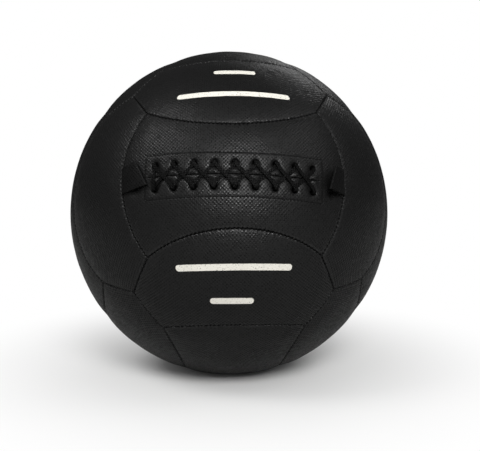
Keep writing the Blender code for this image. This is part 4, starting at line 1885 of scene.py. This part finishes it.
@dataclass
class SlitBacking:
    """The patch sewn behind the slit, and the flap that closes the slit from inside.

    The patch follows the laced panel. A size is a length and a height.
    """

    panel: LacedPanel
    patch_size: tuple[float, float] = (190 * MM, 52 * MM)
    flap_size: tuple[float, float] = (186 * MM, 46 * MM)
    patch_cloth: float = 1.1 * MM
    flap_cloth: float = 0.9 * MM
    flap_depth: float = 8.35 * MM

    def sheet(
        self, name: str, size: tuple[float, float], spacing: float
    ) -> tuple[Piece, Array, Array]:
        """A grid over this length and height of the laced panel.

        Args:
            name: the piece's name.
            size: its length and height.
            spacing: distance between its vertices.

        Returns:
            The grid, with the place along and the place up of each vertex.
        """
        columns, rows = (round(length / spacing) for length in size)
        obj, column, row = grid_piece(name, columns, rows)
        along, up = (column / columns - 0.5) * size[0], (row / rows - 0.5) * size[1]
        set_cloth_map(obj, np.stack([along, up], axis=1))
        return obj, along, up

    def patch(self, material: Finish) -> None:
        """Builds the patch, with the slit and the holes through it.

        Args:
            material: its finish.
        """
        obj, along, up = self.sheet("slit_patch_cloth", self.patch_size, 1.0 * MM)
        towards = self.panel.lacing.directions(along, up)
        depth = self.panel.depth_of(towards) + self.panel.sewing.cloth + 0.15 * MM
        set_coordinates(obj, BALL.place(towards, depth))
        self.panel.open_up(obj)
        face_outward(obj)
        applied(obj, "SOLIDIFY", thickness=self.patch_cloth, offset=-1.0)
        dress(obj, material)
        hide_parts("slit_patch")

    def flap(self, material: Finish) -> None:
        """Builds the flap, a strip of canvas that lies loosely over the filling.

        Args:
            material: its finish.
        """
        obj, along, up = self.sheet("slit_flap_cloth", self.flap_size, 1.5 * MM)
        towards = self.panel.lacing.directions(along, up)
        waves = 0.12 * MM * np.cos(2 * math.pi * along / (23 * MM) + 40 * up)
        set_coordinates(obj, BALL.place(towards, self.flap_depth + waves))
        face_outward(obj)
        applied(obj, "SOLIDIFY", thickness=self.flap_cloth - 0.3 * MM, offset=-1.0)
        dress(obj, material)
        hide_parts("slit_flap")


# Lining, filling and weighted bag


def turned_piece(name: str, rings: Sequence[Array]) -> Piece:
    """A closed piece through rings of points, from one end point to the other or round to the first ring.

    Args:
        name: the piece's name.
        rings: the points of each ring. A ring whose points are all the same is an end.

    Returns:
        The piece, with its faces outward.
    """
    steps = len(rings[0])
    obj, column, row = grid_piece(name, steps, len(rings) - 1)
    set_coordinates(obj, np.stack(rings)[row, column % steps])
    set_cloth_map(obj, np.stack([column * 5 * MM, row * 5 * MM], axis=1))
    applied(obj, "WELD", merge_threshold=0.001 * MM)
    alone(obj)
    bpy.ops.object.mode_set(mode="EDIT")
    bpy.ops.mesh.select_all(action="SELECT")
    bpy.ops.mesh.normals_make_consistent(inside=False)
    bpy.ops.object.mode_set(mode="OBJECT")
    return obj


@dataclass
class Stuffing:
    """The lining sack, the two wads of textile, and the weighted bag between them.

    Depths lie under the cover, and the room is the gap between pieces. The bag's cut share is the area of its
    four pointed pieces over that of the rectangle that they fill; it is not used.
    """

    steps: int = 96
    lining_depth: float = 9.95 * MM
    lining_cloth: float = 0.8 * MM
    mouth: tuple[float, float] = (150 * MM, 8 * MM)
    wad_depth: float = 11.25 * MM
    bag_radius: float = 75 * MM
    bag_cloth: float = 1.2 * MM
    neck_radius: float = 12.6 * MM
    waist_radius: float = 8.8 * MM
    neck_length: float = 30 * MM
    bag_cut_share: float = 0.66
    room: float = 0.3 * MM
    fibres: Unevenness = Unevenness(5, 0.45 * MM, 9 * MM, 34 * MM, 40)
    string_turns: int = 3
    string_radius: float = 0.72 * MM

    def ways(self, angle: float) -> Array:
        """Unit vectors at this angle from the rear, once round."""
        turns = np.linspace(0, 2 * math.pi, self.steps, endpoint=False)
        return math.sin(angle) * spokes(turns) - math.cos(angle) * Facing.FRONT.vector

    def outer(self, depth: float, start: float, end: float, lumps: Unevenness | None = None) -> list[Array]:
        """Rings of the ball at this depth between two angles, pressed flat where it stands.

        Args:
            depth: depth under the cover.
            start: first angle from the rear.
            end: last angle.
            lumps: unevenness, if the cloth or textile has any.

        Returns:
            The rings.
        """
        rings = []
        for angle in np.linspace(start, end, max(2, round(abs(end - start) / 0.04))):
            ways = self.ways(angle)
            deep = np.full(self.steps, depth)
            if lumps:
                deep = deep + np.abs(lumps.at(BALL.place(ways)))
            ring = BALL.place(ways, deep)
            ring[:, 2] = np.maximum(ring[:, 2], deep)
            rings.append(ring)
        return rings

    def sphere(self, radius: float, start: float, end: float) -> list[Array]:
        """Rings of a sphere of this radius round the middle."""
        angles = np.linspace(start, end, max(2, round(abs(end - start) / 0.05)))
        return [BALL.centre + radius * self.ways(angle) for angle in angles]

    def collar(self, radius: float, forward: float, folds: int = 0, depth: float = 0.0) -> Array:
        """A ring round the line from rear to front, with the folds of gathered cloth.

        Args:
            radius: radius of the ring.
            forward: how far it lies before the middle.
            folds: how many folds it has.
            depth: their depth.

        Returns:
            The ring.
        """
        turns = np.linspace(0, 2 * math.pi, self.steps, endpoint=False)
        reach = radius - depth * (0.5 + 0.5 * np.cos(folds * turns))
        return BALL.centre + forward * Facing.FRONT.vector + spokes(turns) * reach[:, None]

    def lining(self, material: Finish) -> None:
        """Builds the lining sack, open along its front.

        Args:
            material: its finish.
        """
        lumps = Unevenness(31, 0.12 * MM, 20 * MM, 60 * MM)
        rings = self.outer(self.lining_depth, 0, math.pi, lumps)
        obj = turned_piece("lining_cloth", rings)
        plan = LacingPlan()
        middles = np.array([face.center[:] for face in obj.data.polygons])
        towards = BALL.directions_to(middles, self.lining_depth)
        along, up = plan.places(towards)
        front = towards @ Facing.FRONT.vector > 0
        delete_faces(obj, front & (np.abs(along) < self.mouth[0] / 2) & (np.abs(up) < self.mouth[1] / 2))
        applied(obj, "SOLIDIFY", thickness=self.lining_cloth, offset=-1.0)
        dress(obj, material)
        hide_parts("lining")

    def wads(self, material: Finish) -> None:
        """Builds the rear wad, and the front wad that lies round the bag's neck.

        Args:
            material: their finish.
        """
        hollow = self.bag_radius + self.room
        half = math.pi / 2
        rear = self.outer(self.wad_depth, 0, half, self.fibres) + self.sphere(hollow, half, 0)
        leaves = math.pi - math.asin((self.neck_radius + self.room) / hollow)
        end = self.bag_radius + self.neck_length + 2 * self.room
        front = self.outer(self.wad_depth, math.pi, half, self.fibres) + self.sphere(hollow, half, leaves)
        shift = self.room * Facing.FRONT.vector
        front = [ring + shift if k else ring for k, ring in enumerate(front)]
        front += [self.collar(self.neck_radius + self.room, end), self.collar(0, end)]
        for node, rings in (("filling_rear", rear), ("filling_front", front)):
            obj = turned_piece(node + "_wad", rings)
            dress(obj, material)
            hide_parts(node)

    def bag(self, material: Finish) -> None:
        """Builds the bag, with its cloth gathered into a neck.

        Args:
            material: its finish.
        """
        wall, radius = self.bag_cloth, self.bag_radius
        leaves = math.pi - math.asin(self.neck_radius / radius)
        outside = self.sphere(radius, 0, leaves - 0.02)
        neck = []
        for share in np.linspace(0.06, 1, 12):
            pinch = float(bell(np.array(share - 0.5), 0.2))
            width = self.neck_radius + (self.waist_radius - self.neck_radius) * pinch
            neck.append((width, radius + self.neck_length * share))
        folds = {"folds": 16, "depth": 1.4 * MM}
        outside += [self.collar(width, place, **folds) for width, place in neck]
        inside = [self.collar(width - wall, place, **folds) for width, place in neck[::-1]]
        inside += self.sphere(radius - wall, leaves - 0.02, 0)
        obj = turned_piece("weight_bag_cloth", outside + inside)
        dress(obj, material)
        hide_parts("weight_bag")

    def shot(self, material: Finish) -> None:
        """Builds the shot that fills the bag, as one knobbly mass.

        Args:
            material: its finish.
        """
        deselect()
        radius = self.bag_radius - self.bag_cloth - self.room
        bpy.ops.mesh.primitive_ico_sphere_add(subdivisions=6, radius=radius)
        obj = bpy.context.object
        obj.name = obj.data.name = "weight_fill_shot"
        points = coordinates(obj)
        grains = Unevenness(47, 0.3 * MM, 3.4 * MM, 4.6 * MM, 30)
        set_coordinates(obj, points * (1 - np.abs(grains.at(points)) / radius)[:, None] + BALL.centre)
        dress(obj, material, sharp=80)
        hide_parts("weight_fill")

    def string(self, material: Finish) -> None:
        """Builds the string, wound round the bag's neck, with three strands twisted together.

        Args:
            material: its finish.
        """
        turns, sides, thick = self.string_turns, 10, self.string_radius
        run = np.linspace(0, turns, turns * 72 + 1)
        forward = self.bag_radius + self.neck_length / 2 + (run - turns / 2) * 2 * thick
        front = Facing.FRONT.vector
        ways = spokes(2 * math.pi * run)
        middles = BALL.centre + forward[:, None] * front + (self.waist_radius + self.room + thick) * ways
        twist = 2 * math.pi * (np.arange(sides) / sides)
        radius = thick * (0.86 + 0.14 * np.abs(np.cos(1.5 * twist)))[:, None]
        rings = [np.repeat(middles[:1], sides, axis=0)]
        for k, (middle, way) in enumerate(zip(middles, ways)):
            angle = (twist + k * 0.3)[:, None]
            rings.append(middle + radius * (np.cos(angle) * way + np.sin(angle) * front))
        rings.append(np.repeat(middles[-1:], sides, axis=0))
        obj = turned_piece("bag_tie_string", rings)
        dress(obj, material, sharp=60)
        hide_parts("bag_tie")


# Printed marks


@dataclass
class Print:
    """A printed mark of plain stripes, a long one with a short one under it, in raised off-white ink.

    Places and sizes are on the flat cloth. The bend is how far a stripe's ends lie under its middle, for
    each metre of half its length squared.
    """

    panel: CoverPanel
    long_at: tuple[float, float] = (-1.5 * MM, 49 * MM)
    long_size: tuple[float, float] = (116 * MM, 6.5 * MM)
    short_at: tuple[float, float] = (-3.5 * MM, 13 * MM)
    short_size: tuple[float, float] = (43 * MM, 6.5 * MM)
    bend: float = 1.8
    raised: float = 0.12 * MM

    def strip(self, name: str, line: Array, width: float) -> Piece:
        """A strip of ink along a line on the cloth.

        Args:
            name: the piece's name.
            line: points on the cloth.
            width: width of the strip.

        Returns:
            The strip, laid on the panel.
        """
        middle, run = evenly(line, 0.5 * MM)
        onward = unit(np.gradient(middle, axis=0))
        aside = np.stack([-onward[:, 1], onward[:, 0]], axis=1)
        rows = 8
        obj, column, row = grid_piece(name, len(middle) - 1, rows)
        corner = np.clip(1 - np.minimum(run, run[-1] - run) / (width / 2), 0, 1)
        share = np.sqrt(1 - corner**2) + 0.02
        flat = middle[column] + aside[column] * ((row / rows - 0.5) * width * share[column])[:, None]
        towards = self.panel.direction_of(flat)
        set_coordinates(obj, BALL.place(towards, self.panel.depth_of(towards) - self.raised))
        set_cloth_map(obj, flat)
        return obj

    def build(self, material: Finish) -> None:
        """Builds and dresses the stripes.

        Args:
            material: their finish.
        """
        stripes = {"long": (self.long_at, self.long_size), "short": (self.short_at, self.short_size)}
        for name, (at, (length, width)) in stripes.items():
            x = np.linspace(-length / 2, length / 2, 60)
            line = np.stack([x + at[0], at[1] - self.bend * x**2], axis=1)
            obj = self.strip(f"{self.panel.node}_{name}_stripe", line, width)
            face_outward(obj)
            applied(obj, "SOLIDIFY", thickness=self.raised * 0.8, offset=-1.0)
            dress(obj, material)


# Stage


@dataclass
class Studio:
    """Floor, lamps, white surroundings and the camera of the photograph.

    The camera's distance is in half widths of the ball, and its pitch and yaw are from the ball's own
    front. Each lamp has a name, a direction as shares of the camera's right, top and view, and a power in
    watts.
    """

    distance: float = 6.4516
    pitch: float = math.radians(12.32)
    yaw: float = math.radians(1.96)
    roll: float = math.radians(1.05)
    focal_pixels: float = 1010.8
    frame_pixels: tuple[int, int] = (480, 451)
    ball_pixel: tuple[float, float] = (229.306, 213.510)
    lamp_distance: float = 2.4
    lamp_size: float = 0.9
    lamps: tuple[tuple[str, tuple[float, float, float], float], ...] = (
        ("front_softbox", (0.14, 0.4, 0.9), 50),
        ("side_softbox", (-0.62, 0.7, 0.35), 20),
        ("right_softbox", (0.7, 0.68, 0.24), 6.5),
        ("back_softbox", (0.3, 0.62, -0.72), 5),
    )

    def camera_axes(self) -> Array:
        """The camera's right, its top and the direction towards it from the ball, as rows.

        Returns:
            The three unit vectors.
        """
        turns = (self.roll, "Z"), (-self.pitch, "X"), (self.yaw, "Y")
        roll, pitch, yaw = (np.array(Matrix.Rotation(angle, 3, axis)) for angle, axis in turns)
        return roll @ pitch @ yaw @ LIE[[0, 2, 1]]

    def camera(self) -> None:
        """Sets the camera at the photograph's viewing angle."""
        right, top, back = self.camera_axes()
        data = bpy.data.cameras.new("camera")
        data.sensor_width = 36.0
        data.lens = self.focal_pixels * data.sensor_width / self.frame_pixels[0]
        aside = math.atan((self.frame_pixels[0] / 2 - self.ball_pixel[0]) / self.focal_pixels)
        over = math.atan((self.frame_pixels[1] / 2 - self.ball_pixel[1]) / self.focal_pixels)
        place = BALL.centre + back * self.distance * BALL.half_width
        eye = unit(back - math.tan(aside) * right + math.tan(over) * top)
        x_axis = unit(np.cross(top, eye))
        y_axis = np.cross(eye, x_axis)
        camera = bpy.data.objects.new("camera", data)
        bpy.context.scene.collection.objects.link(camera)
        matrix = np.eye(4)
        matrix[:3, :3] = np.stack([x_axis, y_axis, eye], axis=1)
        matrix[:3, 3] = place
        camera.matrix_world = Matrix(matrix.tolist())
        bpy.context.scene.camera = camera

    def lamp(self, name: str, towards: Sequence[float], power: float) -> None:
        """A square softbox that faces the middle of the ball.

        Args:
            name: the lamp's name.
            towards: its direction from the ball, as shares of the camera's right, top and view.
            power: its power in watts.
        """
        data = bpy.data.lights.new(name, "AREA")
        data.size = self.lamp_size
        data.energy = power
        obj = bpy.data.objects.new(name, data)
        bpy.context.scene.collection.objects.link(obj)
        away = Vector(unit(np.array(towards, float)) @ self.camera_axes())
        obj.location = Vector(BALL.centre) + away * self.lamp_distance
        obj.rotation_euler = away.to_track_quat("Z", "Y").to_euler()

    def surroundings(self) -> None:
        """White to the camera, and dim to the rest.

        Nothing in view is metal or glass, so reflections stay dim too: a white surround would brighten the
        black fabric's edges.
        """
        world = bpy.data.worlds.new("studio")
        bpy.context.scene.world = world
        world.use_nodes = True
        tree = world.node_tree
        tree.nodes.clear()
        path = add(tree, "ShaderNodeLightPath")
        seen = reckon(tree, "MAXIMUM", path.outputs["Is Camera Ray"], path.outputs["Is Transmission Ray"])
        lit = reckon(tree, "MULTIPLY_ADD", path.outputs["Is Glossy Ray"], -0.03, 0.08)
        strength = reckon(tree, "MAXIMUM", seen, lit)
        back = add(tree, "ShaderNodeBackground", {"Color": (1, 1, 1, 1), "Strength": strength})
        out = add(tree, "ShaderNodeOutputWorld")
        tree.links.new(back.outputs[0], out.inputs[0])

    def floor(self) -> None:
        """A pale floor that fades into the white surroundings and keeps the ball's shadow."""
        deselect()
        bpy.ops.mesh.primitive_plane_add(size=60)
        floor = bpy.context.object
        floor.name = "floor"
        made, tree, place = blank_material("pale_floor")
        away = add(tree, "ShaderNodeVectorMath", {0: place}, operation="LENGTH").outputs["Value"]
        edge = {"Value": away, "From Min": 0.02, "From Max": 0.36}
        fade = add(tree, "ShaderNodeMapRange", edge, interpolation_type="SMOOTHSTEP")
        path = add(tree, "ShaderNodeLightPath")
        seen = reckon(tree, "MAXIMUM", path.outputs["Is Camera Ray"], path.outputs["Is Transmission Ray"])
        white = reckon(tree, "MULTIPLY", fade.outputs[0], seen)
        colours = {"Factor": path.outputs["Is Camera Ray"], 6: linear("#b9b9b8"), 7: linear("#ebebea")}
        paint = add(tree, "ShaderNodeMix", colours, data_type="RGBA")
        painted = add(tree, "ShaderNodeBsdfDiffuse", {"Color": paint.outputs[2]})
        glow = add(tree, "ShaderNodeEmission", {"Color": (1, 1, 1, 1), "Strength": 1.0})
        mixed = add(tree, "ShaderNodeMixShader", {0: white, 1: painted.outputs[0], 2: glow.outputs[0]})
        finish_with(tree, mixed)
        floor.data.materials.append(made)

    def build(self) -> None:
        """Builds the whole studio."""
        self.camera()
        self.surroundings()
        self.floor()
        for name, towards, power in self.lamps:
            self.lamp(name, towards, power)


def main() -> None:
    """Builds every piece in order."""
    logging.basicConfig(level=logging.INFO, format="%(message)s")
    bpy.context.scene.view_settings.view_transform = "Standard"
    Studio().build()
    fabric = CoatedFabric().material()
    cover = Cover()
    panels = cover.panels()
    for panel in panels:
        panel.build(fabric)
    thread = Thread().material()
    cover.sew(cover.all_seams(panels), thread)
    laced = next(panel for panel in panels if isinstance(panel, LacedPanel))
    laced.stitch_frame(thread)
    # the lace's two colours are its gap colour, with painted shade, and its crown colour, with a painted
    # sheen
    webbing = CoatedFabric("lace_webbing", "#020202", "#0b0b0b", 1.5 * MM, 0.22 * MM, 0.9, 0.08).material()
    Lace(laced.lacing).build(webbing)
    # the tabs' two colours are likewise painted shade in the gaps and a painted sheen on the crowns
    folded = CoatedFabric("folded_fabric", "#070707", "#0e0e0e", weave_height=0.1 * MM, gloss=0.15).material()
    EndTab("left_tab", -1, math.radians(4), 5 * MM, 1.0).build(folded)
    EndTab("right_tab", 1, math.radians(17), 1 * MM, 0.0).build(folded)
    canvas = WovenFabric("canvas", "#5d574a", "#a89f8c", 0.9 * MM, 0.25 * MM).material()
    backing = SlitBacking(laced)
    backing.patch(fabric)
    backing.flap(WovenFabric("black_canvas", "#060606", "#151515", 0.9 * MM, 0.2 * MM).material())
    stuffing = Stuffing()
    stuffing.lining(canvas)
    wadding = WovenFabric("textile_wadding", "#6c6a68", "#c9c5bf", 1.6 * MM, 1.4 * MM, 0.95, 0.95)
    stuffing.wads(wadding.material())
    sackcloth = WovenFabric("sackcloth", "#1b2536", "#4d5f80", 1.1 * MM, 0.3 * MM)
    stuffing.bag(sackcloth.material())
    stuffing.shot(IronShot().material())
    string = WovenFabric("twisted_string", "#8a7f6a", "#d3c8b0", 0.7 * MM, 0.2 * MM, 0.85, 0.5)
    stuffing.string(string.material())
    ink = Ink().material()
    for panel in panels:
        if panel.node in ("front_lower_panel", "front_upper_panel"):
            Print(panel).build(ink)


if __name__ == "__main__":
    main()
